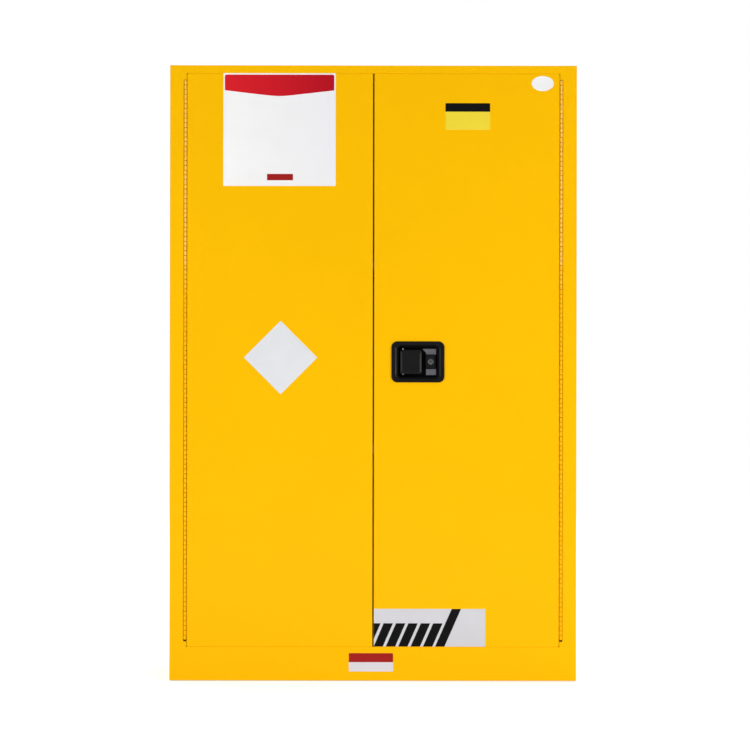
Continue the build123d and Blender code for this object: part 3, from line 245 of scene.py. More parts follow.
def plated_steel(name, tint, roughness, grain=GRAIN_LEVEL, spangle=0.0, depth=0.05, edge_wear_and_highlight=1.25):
    """Plated steel: a fine grain, flakes of zinc where a spangle is given, and edges made brighter, partly as
    rubbed wear and partly as painted highlight.
    """
    material, tree, shader = new_tree(name)
    streaks = noise(tree, object_place(tree, grain), STREAK_WAVES, STREAK_DETAIL, STREAK_ROUGHNESS)
    tone = toned(tree, remap(tree, streaks, 0.0, 1.0), tint, STREAK_TONES)
    rough = remap(tree, streaks, *roughness)
    if spangle:
        flakes = add_node(tree, "ShaderNodeTexVoronoi", {"Vector": object_place(tree), "Scale": spangle})
        single = add_node(tree, "ShaderNodeSeparateColor", {"Color": flakes.outputs["Color"]})
        tone = toned(tree, single.outputs["Red"], tint, FLAKE_TONES)
        rough = remap(tree, single.outputs["Green"], *roughness, 0.0, 1.0)
    # Brighter edges: partly rubbed wear, partly painted highlight
    worn_and_highlit = blend(tree, edge_mask(tree, STEEL_EDGE_REACH), tone, shade(tint, edge_wear_and_highlight))
    tree.links.new(worn_and_highlit, shader.inputs["Base Color"])
    tree.links.new(rough, shader.inputs["Roughness"])
    tree.links.new(relief(tree, streaks, depth, STREAK_DEPTH), shader.inputs["Normal"])
    shader.inputs["Metallic"].default_value = 1.0
    return material


HANDLED_WAVES = 38.0
HANDLED_TONES = (0.85, 1.2)
MOULDING_GRAIN_DEPTH = 0.15 * MM
MOULDING_EDGE_REACH = 0.7 * MM


def moulding(name, tint, roughness, specular, grain=900.0, depth=0.12, edge_wear_and_highlight=1.8, recess_shade=None):
    """Moulded or cast black parts: a fine grain, handled patches, edges lightened partly as rubbed wear and
    partly as painted highlight, and a recess where the coat is duller and its tint darkens to a share of
    itself as painted shade."""
    material, tree, shader = new_tree(name)
    place = object_place(tree)
    handled = noise(tree, place, HANDLED_WAVES, FINE_DETAIL)
    tone = toned(tree, remap(tree, handled, 0.0, 1.0), tint, HANDLED_TONES)
    gloss = remap(tree, handled, *roughness)
    if recess_shade:
        # Painted shade: the tint darkens towards the back of the recess
        recess_shade_mask = along_axis(tree, "Y", recess_shade["front"], recess_shade["back"])
        tone = blend(tree, recess_shade_mask, tone, shade(tint, recess_shade["share"]))
        gloss = larger(tree, gloss, remap(tree, recess_shade_mask, 0.0, recess_shade["roughness"], 0.0, 1.0))
    # Lighter edges: partly rubbed wear, partly painted highlight
    worn_and_highlit = blend(tree, edge_mask(tree, MOULDING_EDGE_REACH), tone, shade(tint, edge_wear_and_highlight))
    bumps = relief(tree, noise(tree, place, grain), depth, MOULDING_GRAIN_DEPTH)
    tree.links.new(worn_and_highlit, shader.inputs["Base Color"])
    tree.links.new(gloss, shader.inputs["Roughness"])
    tree.links.new(bumps, shader.inputs["Normal"])
    shader.inputs["Specular IOR Level"].default_value = specular
    return material


# A scale of Blender's wave texture that gives about one wire to the millimetre
WIRE_SCALE = 312.5
WIRE_DISTORTION = 0.2
WIRE_OPENING_SHADE = 0.12
WIRE_ROUGHNESS = (0.6, 0.32)
WIRE_RELIEF, WIRE_DEPTH = 0.5, 0.5 * MM


def gauze(name, tint):
    """Woven wire cloth: two crossing sets of wires, with the openings between them darkened as painted shade.
    """
    material, tree, shader = new_tree(name)
    place = object_place(tree)
    waves = [
        add_node(
            tree,
            "ShaderNodeTexWave",
            {"Vector": place, "Scale": WIRE_SCALE, "Distortion": WIRE_DISTORTION},
            bands_direction=axis,
        ).outputs["Fac"]
        for axis in ("Y", "Z")
    ]
    wires = larger(tree, *waves)
    # Painted shade in the openings between the wires
    tone = blend(tree, remap(tree, wires, 0.0, 1.0), shade(tint, WIRE_OPENING_SHADE), tint)
    tree.links.new(tone, shader.inputs["Base Color"])
    tree.links.new(remap(tree, wires, *WIRE_ROUGHNESS), shader.inputs["Roughness"])
    tree.links.new(relief(tree, wires, WIRE_RELIEF, WIRE_DEPTH), shader.inputs["Normal"])
    shader.inputs["Metallic"].default_value = 1.0
    return material


FILM_CLOUD_WAVES, FILM_GLOSS_WAVES, FILM_QUILT_WAVES = 14.0, 60.0, 45.0
FILM_TONES = (0.97, 1.02)
FILM_ROUGHNESS = (0.3, 0.42)
FILM_QUILT, FILM_QUILT_DEPTH = 0.06, 0.4 * MM


def vinyl(name, tint, shade_across=None, specular=0.1):
    """Printed vinyl film: faint clouding in the print, a slight quilting where it lies on the paint, and a
    painted shade towards another tint, given as (tint, start, end), along the object's width."""
    material, tree, shader = new_tree(name)
    place = object_place(tree)
    cloud = remap(tree, noise(tree, place, FILM_CLOUD_WAVES, FINE_DETAIL), 0.0, 1.0)
    tone = toned(tree, cloud, tint, FILM_TONES)
    # Painted shade: the tint darkens towards one side
    if shade_across:
        shade_tint, start, end = shade_across
        tone = blend(tree, along_axis(tree, "X", start, end), tone, shade_tint)
    gloss = remap(tree, noise(tree, place, FILM_GLOSS_WAVES), *FILM_ROUGHNESS)
    bumps = relief(tree, noise(tree, place, FILM_QUILT_WAVES), FILM_QUILT, FILM_QUILT_DEPTH)
    tree.links.new(tone, shader.inputs["Base Color"])
    tree.links.new(gloss, shader.inputs["Roughness"])
    tree.links.new(bumps, shader.inputs["Normal"])
    shader.inputs["Specular IOR Level"].default_value = specular
    return material


CABINET_YELLOW = colour(0.98, 0.522, 0.0006)
SHADED_YELLOW = colour(0.93, 0.48, 0.0008)

# The latch's recess, where the tint darkens as painted shade, is measured from the door's front, and the pan's
# own from the front of the pan
LATCH_RECESS_START, LATCH_RECESS_END = 7 * MM, 19 * MM
LATCH_RECESS_SHADE = {
    "front": FRONT_Y + LATCH_RECESS_START,
    "back": FRONT_Y + LATCH_RECESS_END,
    "share": 0.3,
    "roughness": 0.3,
}
PAN_FRONT_Y = low("latch_pan").y
PAN_RECESS_START, PAN_RECESS_END = 0.8 * MM, 2.6 * MM
PAN_RECESS_SHADE = {
    "front": PAN_FRONT_Y + PAN_RECESS_START,
    "back": PAN_FRONT_Y + PAN_RECESS_END,
    "share": 0.1,
    "roughness": 0.8,
}
# The hinge and latch coats lighten their edges, partly as wear and partly as painted highlight; the latch's
# strongly, on its bevels and lips
HINGE_COAT = {"peel": 0.02, "edge_wear_and_highlight": 1.1}
LATCH_COAT = {"depth": 0.03, "edge_wear_and_highlight": 2.0}

looks = {
    "yellow_paint": paint("yellow_powder_coat", CABINET_YELLOW, specular=0.04),
    "inner_paint": paint(
        "inner_powder_coat", SHADED_YELLOW, specular=0.08, roughness=(0.4, 0.5), peel=0.09
    ),
    "hinge_paint": paint("hinge_powder_coat", CABINET_YELLOW, specular=0.07, **HINGE_COAT),
    "rubbed_hinge": paint(
        "rubbed_hinge_coat", CABINET_YELLOW, specular=0.3, roughness=(0.24, 0.32), **HINGE_COAT
    ),
    "glossy_hinge": paint(
        "glossy_hinge_coat", CABINET_YELLOW, specular=0.95, roughness=(0.2, 0.28), **HINGE_COAT
    ),
    "zinc_steel": plated_steel("zinc_plate", colour(0.58, 0.58, 0.6), roughness=(0.24, 0.4)),
    "shelf_steel": plated_steel(
        "galvanised_sheet", colour(0.6, 0.61, 0.63), roughness=(0.44, 0.58), spangle=85.0, depth=0.02
    ),
    "vent_steel": paint("vent_powder_coat", SHADED_YELLOW, specular=0.08),
    "vent_gauze": gauze("brass_gauze", colour(0.6, 0.45, 0.2)),
    "cap_black": moulding(
        "cap_moulding", colour(0.018, 0.018, 0.019), roughness=(0.38, 0.55), specular=0.4
    ),
    "earth_brass": plated_steel(
        "turned_brass", colour(0.74, 0.53, 0.22), roughness=(0.2, 0.36), grain=GRAIN_TURNED
    ),
    "foot_black": moulding(
        "foot_rubber", colour(0.02, 0.02, 0.02), roughness=(0.65, 0.85), specular=0.25, grain=500.0, depth=0.2
    ),
    "latch_black": moulding(
        "latch_coat",
        colour(0.0065, 0.0065, 0.007),
        roughness=(0.18, 0.24),
        specular=0.08,
        recess_shade=LATCH_RECESS_SHADE,
        **LATCH_COAT,
    ),
    # The recess plate's edges are made much brighter, partly as polish and partly as painted highlight
    "recess_steel": plated_steel(
        "recess_plate", colour(0.125, 0.125, 0.14), roughness=(0.26, 0.4), grain=GRAIN_BRUSHED, edge_wear_and_highlight=2.2
    ),
    # The plug's nickel is tinted dark as a painted reflection of dark surroundings, and its edges are brighter
    # as wear and painted highlight
    "plug_bright": plated_steel(
        "plug_nickel_dark_reflection", colour(0.088, 0.088, 0.094), roughness=(0.1, 0.2), depth=0.2, edge_wear_and_highlight=2.6
    ),
    "spring_steel": plated_steel(
        "spring_wire", colour(0.42, 0.42, 0.43), roughness=(0.25, 0.4), grain=GRAIN_DRAWN
    ),
}
own_looks = {
    # The pins are dark brown, partly as oiled steel and partly as painted shade in the gaps between the
    # knuckles
    "hinge_pins": paint("oiled_pin_and_gap_shade", colour(0.2, 0.1, 0.003), specular=0.05),
    "latch_pan": moulding(
        "pan_coat",
        colour(0.007, 0.007, 0.0075),
        roughness=(0.16, 0.22),
        specular=0.06,
        recess_shade=PAN_RECESS_SHADE,
        **LATCH_COAT,
    ),
}
film_white = vinyl("film_white", colour(0.9, 0.9, 0.91))
film_pearl = vinyl("film_pearl", colour(0.75, 0.77, 0.805))
film_grey = vinyl("film_grey", colour(0.7, 0.708, 0.8))
film_silver = vinyl("film_silver", colour(0.63, 0.65, 0.71))
film_black = vinyl("film_black", colour(0.0045, 0.0045, 0.005), specular=0.04)
film_yellow = vinyl("film_yellow", colour(0.88, 0.7, 0.045))
film_brick = vinyl("film_brick", colour(0.34, 0.011, 0.009))

# Dressing of the solids that stay: soft edges, smooth rounds and the materials

SHARP_ANGLE = math.radians(32)
BEVEL_ANGLE = math.radians(28)
BEVEL_SEGMENTS = 2


def smooth_by_angle():
    """Geometry nodes that shade smooth except across sharp edges."""
    tree = bpy.data.node_groups.new("smooth_by_angle", "GeometryNodeTree")
    tree.interface.new_socket("Geometry", in_out="INPUT", socket_type="NodeSocketGeometry")
    tree.interface.new_socket("Geometry", in_out="OUTPUT", socket_type="NodeSocketGeometry")
    start = tree.nodes.new("NodeGroupInput")
    end = tree.nodes.new("NodeGroupOutput")
    angle = add_node(tree, "GeometryNodeInputMeshEdgeAngle")
    sharp = add_node(
        tree,
        "FunctionNodeCompare",
        {0: angle.outputs["Unsigned Angle"], 1: SHARP_ANGLE},
        data_type="FLOAT",
        operation="GREATER_THAN",
    )
    faces = add_node(
        tree,
        "GeometryNodeSetShadeSmooth",
        {"Geometry": start.outputs[0], "Shade Smooth": True},
        domain="FACE",
    )
    edges = add_node(
        tree,
        "GeometryNodeSetShadeSmooth",
        {"Geometry": faces.outputs[0], "Selection": sharp.outputs["Result"], "Shade Smooth": False},
        domain="EDGE",
    )
    tree.links.new(edges.outputs[0], end.inputs[0])
    return tree


smoothing = smooth_by_angle()


def soften(piece, width):
    """Rounds the sharp edges of a piece and shades its rounds smooth."""
    if width:
        bevel = piece.modifiers.new("soft_edges", "BEVEL")
        bevel.width = width
        bevel.segments = BEVEL_SEGMENTS
        bevel.limit_method = "ANGLE"
        bevel.angle_limit = BEVEL_ANGLE
        bevel.use_clamp_overlap = True
    piece.modifiers.new("smooth", "NODES").node_group = smoothing


EDGE_WIDTHS = {
    "left_door_skin": 0.2 * MM,
    "right_door_skin": 0.2 * MM,
    "levelling_feet": 0.8 * MM,
    "latch_pan": 0.8 * MM,
    "lock_housing": 0.9 * MM,
}
USUAL_EDGE_WIDTH = 0.25 * MM

slot_of = {entry["node"]: entry["material_slot"] for entry in frame["record"]["subparts"]}
for name, solid in nodes.items():
    solid.data.materials.clear()
    solid.data.materials.append(own_looks.get(name, looks[slot_of[name]]))
    soften(solid, EDGE_WIDTHS.get(name, USUAL_EDGE_WIDTH))

# Making of pieces


def make_piece(name, builder, body, slot=None, replaced=(), materials=(), soft=0.0):
    """A piece from a mesh, on a body, in the place of CAD nodes where some are named. It has the look of its
    slot, unless it has materials of its own."""
    bmesh.ops.recalc_face_normals(builder, faces=builder.faces)
    mesh = bpy.data.meshes.new(name)
    builder.to_mesh(mesh)
    builder.free()
    piece = bpy.data.objects.new(name, mesh)
    bpy.context.collection.objects.link(piece)
    for material in materials or [looks[slot]]:
        mesh.materials.append(material)
    soften(piece, soft)
    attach(piece, body)
    if replaced:
        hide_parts(*replaced)


def skin_rings(builder, rings, joined=False):
    """Quads between rings of points of one count; the two end rings are capped, or joined to each other."""
    loops = [[builder.verts.new(point) for point in ring] for ring in rings]
    pairs = list(zip(loops, loops[1:]))
    if joined:
        pairs.append((loops[-1], loops[0]))
    for first, second in pairs:
        for index, corner in enumerate(first):
            previous = first[index - 1]
            builder.faces.new((previous, corner, second[index], second[index - 1]))
    if not joined:
        builder.faces.new(loops[0])
        builder.faces.new(loops[-1])


def add_prism(builder, outline, front, back, material_index=0):
    """A flat piece with an outline of (x, z) points, between two places in depth."""
    before = set(builder.faces)
    skin_rings(builder, [[(x, y, z) for x, z in outline] for y in (front, back)])
    for face in set(builder.faces) - before:
        face.material_index = material_index


def add_upright(builder, section, foot, top):
    """An upright bar with a section of (x, y) points."""
    skin_rings(builder, [[(x, y, z) for x, y in section] for z in (foot, top)])


ACROSS_AND_ALONG = {
    "X": (Vector((0, 1, 0)), Vector((0, 0, 1)), Vector((1, 0, 0))),
    "Y": (Vector((1, 0, 0)), Vector((0, 0, 1)), Vector((0, 1, 0))),
    "Z": (Vector((1, 0, 0)), Vector((0, 1, 0)), Vector((0, 0, 1))),
}


def turned_ring(origin, axis, radius, distance, sides, flutes=0, flute_depth=0.0):
    """Points round an axis through an origin, at a distance along it, with flutes cut into the round."""
    across, upward, along = ACROSS_AND_ALONG[axis]
    points = []
    for index in range(sides):
        turn = 2 * math.pi * index / sides
        reach = radius - flute_depth * (1 - math.cos(flutes * turn)) / 2
        points.append(origin + reach * (math.cos(turn) * across + math.sin(turn) * upward) + distance * along)
    return points


def add_turned(builder, origin, axis, profile, sides, joined=False):
    """A turned form about an axis, from (radius, distance) pairs."""
    skin_rings(builder, [turned_ring(origin, axis, *pair, sides) for pair in profile], joined)


# A dome from below its surface to near its top, as shares of its radius and its height
DOME_SHARES = ((1.0, -0.2), (1.0, 0.1), (0.88, 0.5), (0.62, 0.82), (0.25, 0.98))


def add_dome(builder, place, axis, facing, radius, height, sides=16):
    """A rivet head on a surface that faces along an axis or against it."""
    profile = [(radius * out, facing * height * up) for out, up in DOME_SHARES]
    add_turned(builder, place, axis, profile, sides)


def rounded_outline(left, right, foot, top, radius, steps=6):
    """Points of a rectangle with round corners, from the lower left corner on."""
    corners = (
        (left + radius, foot + radius, 180),
        (right - radius, foot + radius, 270),
        (right - radius, top - radius, 0),
        (left + radius, top - radius, 90),
    )
    return [
        (
            x + radius * math.cos(math.radians(start + 90 * step / steps)),
            z + radius * math.sin(math.radians(start + 90 * step / steps)),
        )
        for x, z, start in corners
        for step in range(steps + 1)
    ]


# Piano hinges with round knuckles at the pitch of the photograph

KNUCKLE_COUNT = 118
KNUCKLE_RADIUS = 3.4 * MM
KNUCKLE_GAP = 0.7 * MM
KNUCKLE_END = 1.1 * MM
KNUCKLE_SIDES = 16
KNUCKLE_PITCH = (HINGE_TOP - HINGE_FOOT) / KNUCKLE_COUNT
# From the top down, a glossy length, a rubbed one under it and the plain rest
GLOSSY_LENGTH = 500 * MM
RUBBED_LENGTH = 60 * MM
GLOSSY_FOOT = HINGE_TOP - GLOSSY_LENGTH
RUBBED_FOOT = GLOSSY_FOOT - RUBBED_LENGTH
LEAF_SHEET = 1.2 * MM
LEAF_RELIEF = 0.6 * MM
LEAF_RIVETS = 10
LEAF_RIVET_RADIUS = 3.2 * MM
LEAF_RIVET_HEIGHT = 0.9 * MM


def piano_leaf(side, carrier, body):
    """A hinge leaf, glossier near its top as in the photograph. A leaf on the frame has the even knuckles, a
    leaf on a door the odd ones."""
    node = f"{side}_{carrier}_leaf"
    leaf_low, leaf_high = low(node), high(node)
    axis_x = HINGE_X if side == "right" else -HINGE_X
    outward = 1 if middle(node).x > axis_x else -1
    outer_face = leaf_high.x if outward > 0 else leaf_low.x
    inner_face = outer_face - outward * LEAF_SHEET
    barrel_face = axis_x + outward * KNUCKLE_RADIUS
    plate_front = HINGE_Y + KNUCKLE_RADIUS + LEAF_RELIEF
    plate = [
        (outer_face, plate_front),
        (inner_face, plate_front),
        (inner_face, leaf_high.y),
        (outer_face, leaf_high.y),
    ]
    web = [
        (outer_face, plate_front + LEAF_SHEET),
        (inner_face, plate_front + LEAF_SHEET),
        (barrel_face - outward * LEAF_SHEET, HINGE_Y),
        (barrel_face, HINGE_Y),
    ]
    builder = bmesh.new()
    add_upright(builder, plate, HINGE_FOOT + KNUCKLE_GAP, HINGE_TOP - KNUCKLE_GAP)
    for index in range(0 if carrier == "frame" else 1, KNUCKLE_COUNT, 2):
        foot = HINGE_FOOT + index * KNUCKLE_PITCH + KNUCKLE_GAP / 2
        top = foot + KNUCKLE_PITCH - KNUCKLE_GAP
        barrel = [
            (KNUCKLE_RADIUS - KNUCKLE_END, foot),
            (KNUCKLE_RADIUS, foot + KNUCKLE_END),
            (KNUCKLE_RADIUS, top - KNUCKLE_END),
            (KNUCKLE_RADIUS - KNUCKLE_END, top),
        ]
        add_turned(builder, Vector((axis_x, HINGE_Y, 0)), "Z", barrel, KNUCKLE_SIDES)
        add_upright(builder, web, foot + KNUCKLE_END, top - KNUCKLE_END)
    rivet_y = (plate_front + LEAF_SHEET + leaf_high.y) / 2
    for index in range(LEAF_RIVETS):
        rivet_z = HINGE_FOOT + (index + 0.5) * (HINGE_TOP - HINGE_FOOT) / LEAF_RIVETS
        place = Vector((inner_face, rivet_y, rivet_z))
        add_dome(builder, place, "X", -outward, LEAF_RIVET_RADIUS, LEAF_RIVET_HEIGHT)
    for face in builder.faces:
        height = face.calc_center_median().z
        face.material_index = (height > RUBBED_FOOT) + (height > GLOSSY_FOOT)
    coats = [looks[coat] for coat in ("hinge_paint", "rubbed_hinge", "glossy_hinge")]
    make_piece(f"{side}_{carrier}_hinge", builder, body, "hinge_paint", (node,), coats)


for hand in ("left", "right"):
    piano_leaf(hand, "frame", "cabinet")
    piano_leaf(hand, "door", f"{hand}_door")

# Vents: round sleeves with riveted flanges, and fluted screw-in caps

VENT_SIDES = 72
VENT_TUBE_RADIUS = 30 * MM
VENT_BORE_RADIUS = 25.4 * MM
VENT_FLANGE_RADIUS = 42 * MM
VENT_FLANGE_SHEET = 2.5 * MM
VENT_EDGE = 0.8 * MM
VENT_RIVETS = 6
VENT_RIVET_CIRCLE = 38.6 * MM
VENT_RIVET_RADIUS = 2.1 * MM
VENT_RIVET_HEIGHT = 1.1 * MM
VENT_REACH = 2 * MM
VENT_OUTER = high("vent_sleeves").x
VENT_INNER = low("liner_right").x - VENT_REACH
VENT_WALL = VENT_OUTER - VENT_FLANGE_SHEET

sleeve_profile = [
    (VENT_TUBE_RADIUS, VENT_INNER),
    (VENT_TUBE_RADIUS, VENT_WALL),
    (VENT_FLANGE_RADIUS, VENT_WALL),
    (VENT_FLANGE_RADIUS, VENT_OUTER - VENT_EDGE),
    (VENT_FLANGE_RADIUS - VENT_EDGE, VENT_OUTER),
    (VENT_BORE_RADIUS + VENT_EDGE, VENT_OUTER),
    (VENT_BORE_RADIUS, VENT_OUTER - VENT_EDGE),
    (VENT_BORE_RADIUS, VENT_INNER),
]
sleeve_builder = bmesh.new()
for facing, cap_node in ((-1, "left_vent_cap"), (1, "right_vent_cap")):
    vent_middle = Vector((0, middle(cap_node).y, middle(cap_node).z))
    sleeve = [(radius, facing * distance) for radius, distance in sleeve_profile]
    add_turned(sleeve_builder, vent_middle, "X", sleeve, VENT_SIDES, joined=True)
    for place in turned_ring(vent_middle, "X", VENT_RIVET_CIRCLE, facing * VENT_OUTER, VENT_RIVETS):
        add_dome(sleeve_builder, place, "X", facing, VENT_RIVET_RADIUS, VENT_RIVET_HEIGHT)
make_piece("vent_tubes", sleeve_builder, "cabinet", "vent_steel", ("vent_sleeves",))

CAP_SIDES = 144
CAP_FLUTES = 36
CAP_FLUTE_DEPTH = 1.1 * MM
CAP_PLUG_RADIUS = 25.1 * MM
CAP_THREAD_DEPTH = 0.9 * MM
CAP_THREAD_PITCH = 2.8 * MM
CAP_THREADS = 4
CAP_CREST_SHARES = (0.4, 0.6)
CAP_HEAD_RADIUS = 35 * MM
CAP_HEAD_SHEET = 6 * MM
CAP_EDGE = 1 * MM
CAP_SHOULDER = 1.5 * MM
CAP_SHOULDER_SOFT = 0.4 * MM
CAP_FACE_RADIUS = 31 * MM
CAP_FACE_DROP = 1.2 * MM
CAP_GRIP_LENGTH = 48 * MM
CAP_GRIP_WIDTH = 14 * MM
CAP_GRIP_RISE = 8 * MM
CAP_GRIP_EDGE = 1.6 * MM
CAP_GRIP_SOFT_SHARE = 0.3
CAP_GRIP_ROUND_SHARE = 0.9
CAP_GRIP_STEPS = 8


def vent_cap(node, facing):
    """A screw-in cap: a threaded plug, a fluted rim, a face a little sunk and a grip bar with round ends."""
    outermost = high(node).x if facing > 0 else low(node).x
    innermost = low(node).x if facing > 0 else high(node).x
    origin = Vector((outermost, middle(node).y, middle(node).z))
    face = -CAP_GRIP_RISE
    seat = face - CAP_HEAD_SHEET
    plug_end = -abs(outermost - innermost)
    root = CAP_PLUG_RADIUS - CAP_THREAD_DEPTH
    profile = [(root - CAP_EDGE, plug_end, 0.0), (root, plug_end + CAP_EDGE, 0.0)]
    for thread in range(CAP_THREADS):
        start = plug_end + CAP_EDGE + thread * CAP_THREAD_PITCH
        profile += [(CAP_PLUG_RADIUS, start + share * CAP_THREAD_PITCH, 0.0) for share in CAP_CREST_SHARES]
        profile.append((root, start + CAP_THREAD_PITCH, 0.0))
    profile += [
        (root, seat, 0.0),
        (CAP_HEAD_RADIUS - CAP_EDGE, seat, 0.0),
        (CAP_HEAD_RADIUS, seat + CAP_EDGE, CAP_FLUTE_DEPTH),
        (CAP_HEAD_RADIUS, face - CAP_SHOULDER, CAP_FLUTE_DEPTH),
        (CAP_HEAD_RADIUS - CAP_EDGE, face - CAP_SHOULDER_SOFT, CAP_FLUTE_DEPTH / 2),
        (CAP_HEAD_RADIUS - 2 * CAP_EDGE, face, 0.0),
        (CAP_FACE_RADIUS, face, 0.0),
        (CAP_FACE_RADIUS - CAP_EDGE, face - CAP_FACE_DROP, 0.0),
    ]
    builder = bmesh.new()
    skin_rings(
        builder,
        [
            turned_ring(origin, "X", radius, facing * distance, CAP_SIDES, CAP_FLUTES, flute_depth)
            for radius, distance, flute_depth in profile
        ],
    )
    grip_soft = CAP_GRIP_SOFT_SHARE * CAP_GRIP_EDGE
    grip_rings = []
    for inset, distance in (
        (0.0, face - CAP_FACE_DROP),
        (0.0, -CAP_GRIP_EDGE),
        (grip_soft, -grip_soft),
        (CAP_GRIP_EDGE, 0.0),
    ):
        length, width = CAP_GRIP_LENGTH / 2 - inset, CAP_GRIP_WIDTH / 2 - inset
        bar = rounded_outline(-length, length, -width, width, CAP_GRIP_ROUND_SHARE * width, CAP_GRIP_STEPS)
        grip_rings.append([origin + Vector((facing * distance, y, z)) for y, z in bar])
    skin_rings(builder, grip_rings)
    make_piece(f"{node}_fluted", builder, node, "cap_black", (node,))


vent_cap("left_vent_cap", -1)
vent_cap("right_vent_cap", 1)

# Earth bolt with its thread

BOLT_RADIUS = 4 * MM
BOLT_ROOT = 3.35 * MM
BOLT_PITCH = 1.25 * MM
BOLT_CREST_SHARES = (0.45, 0.55)
BOLT_HEAD_SHEET = 5.3 * MM
BOLT_TIP = 1 * MM
BOLT_SIDES = 28
HEXAGON_SIDES = 6

bolt_origin = Vector((0, middle("ground_stud").y, middle("ground_stud").z))
bolt_head, bolt_end = low("ground_stud").x, high("ground_stud").x
bolt_thread_start = high("ground_nut").x
thread_turns = int((bolt_end - BOLT_TIP - bolt_thread_start) / BOLT_PITCH)
bolt_profile = [(BOLT_ROOT, bolt_head + BOLT_HEAD_SHEET / 2), (BOLT_ROOT, bolt_thread_start)]
for turn in range(thread_turns):
    for share in BOLT_CREST_SHARES:
        bolt_profile.append((BOLT_RADIUS, bolt_thread_start + (turn + share) * BOLT_PITCH))
    bolt_profile.append((BOLT_ROOT, bolt_thread_start + (turn + 1) * BOLT_PITCH))
bolt_profile += [(BOLT_ROOT, bolt_end - BOLT_TIP / 2), (BOLT_ROOT - BOLT_TIP, bolt_end)]
hexagon_radius = high("ground_stud").y - middle("ground_stud").y
bolt_builder = bmesh.new()
add_turned(bolt_builder, bolt_origin, "X", bolt_profile, BOLT_SIDES)
hexagon = [(hexagon_radius, bolt_head), (hexagon_radius, bolt_head + BOLT_HEAD_SHEET)]
add_turned(bolt_builder, bolt_origin, "X", hexagon, HEXAGON_SIDES)
make_piece("earth_bolt", bolt_builder, "cabinet", "earth_brass", ("ground_stud",))

# Lock plug with a rim, a face in two halves and the key slot between them

PLUG_SIDES = 40
PLUG_RIM = 1.1 * MM
PLUG_EDGE = 0.3 * MM
PLUG_GROOVE = 0.5 * MM
PLUG_FACE_DROP = 0.25 * MM
PLUG_SHOULDER_DROP = 0.5 * MM
PLUG_DEPTH = 1.5 * MM
PLUG_SOFT = 0.25 * MM
KEY_SLOT = 1.5 * MM
KEY_SLOT_LENGTH = 8 * MM
KEY_SLOT_DROP = 1.1 * MM
KEY_SLOT_CORNER, KEY_SLOT_STEPS = 0.2 * MM, 2
BRIGHT_INDEX, SLOT_SHADE_INDEX = 0, 1

plug_middle = Vector((middle("lock_plug").x, 0, middle("lock_plug").z))
plug_radius = high("lock_plug").x - plug_middle.x
plug_front, plug_back = low("lock_plug").y, high("lock_plug").y
plug_builder = bmesh.new()
plug_barrel = [(plug_radius, plug_front + PLUG_DEPTH), (plug_radius, plug_back)]
add_turned(plug_builder, plug_middle, "Y", plug_barrel, PLUG_SIDES)
rim_root = plug_radius - PLUG_RIM
plug_rim = [
    (plug_radius, plug_front + PLUG_DEPTH),
    (plug_radius, plug_front + PLUG_EDGE),
    (plug_radius - PLUG_EDGE, plug_front),
    (rim_root + PLUG_EDGE, plug_front),
    (rim_root, plug_front + PLUG_EDGE),
    (rim_root, plug_front + PLUG_DEPTH),
]
add_turned(plug_builder, plug_middle, "Y", plug_rim, PLUG_SIDES, joined=True)
face_radius = rim_root - PLUG_GROOVE
slot_turn = math.asin(KEY_SLOT / 2 / face_radius)
face_sweep = math.pi - 2 * slot_turn
face_turns = [slot_turn + face_sweep * step / PLUG_SIDES for step in range(PLUG_SIDES + 1)]
for facing in (-1, 1):
    half_face = [
        (plug_middle.x + facing * face_radius * math.sin(turn), plug_middle.z + face_radius * math.cos(turn))
        for turn in face_turns
    ]
    add_prism(plug_builder, half_face, plug_front + PLUG_FACE_DROP, plug_front + PLUG_DEPTH)


def slot_filling(foot, top, drop, material_index):
    """A block between the two halves of the face, a drop behind the rim."""
    left, right = plug_middle.x - KEY_SLOT, plug_middle.x + KEY_SLOT
    outline = rounded_outline(left, right, foot, top, KEY_SLOT_CORNER, KEY_SLOT_STEPS)
    add_prism(plug_builder, outline, plug_front + drop, plug_front + PLUG_DEPTH, material_index)


face_foot, face_top = plug_middle.z - face_radius, plug_middle.z + face_radius
slot_foot, slot_top = plug_middle.z - KEY_SLOT_LENGTH / 2, plug_middle.z + KEY_SLOT_LENGTH / 2
# The slot's floor has the black latch coat as painted shade of the deep keyway
slot_filling(face_foot, face_top, KEY_SLOT_DROP, SLOT_SHADE_INDEX)
slot_filling(face_foot, slot_foot, PLUG_SHOULDER_DROP, BRIGHT_INDEX)
slot_filling(slot_top, face_top, PLUG_SHOULDER_DROP, BRIGHT_INDEX)
plug_looks = [looks["plug_bright"], looks["latch_black"]]
make_piece("key_plug", plug_builder, "lock", "plug_bright", ("lock_plug",), plug_looks, PLUG_SOFT)

# Paddle: a plate with round corners and soft bevels, its pivot barrel and the tail that works the hub

PADDLE_CORNER = 4.5 * MM
PADDLE_CORNER_SHARE = 1 / 3
PADDLE_SHEET = 6 * MM
PADDLE_BEVEL_WIDTH = 5.5 * MM
PADDLE_BEVEL_DROP = 2.5 * MM
PADDLE_SOFT = 0.5 * MM
PADDLE_OUTER_INSET, PADDLE_OUTER_DROP, PADDLE_OUTER_END = 0.15 * MM, 0.1 * MM, 0.7 * MM
PADDLE_INNER_EDGE, PADDLE_INNER_END = 0.125 * MM, 0.9 * MM
BARREL_RADIUS = 4.5 * MM
BARREL_SIDES = 24
BARREL_WEB = 4 * MM
BARREL_GAP = 0.4 * MM
TAIL_HALF_SHEET = 2 * MM
TAIL_HALF_HEIGHT = 5 * MM
TAIL_TIP_RADIUS = 3 * MM
TAIL_TIP_SIDES = 20

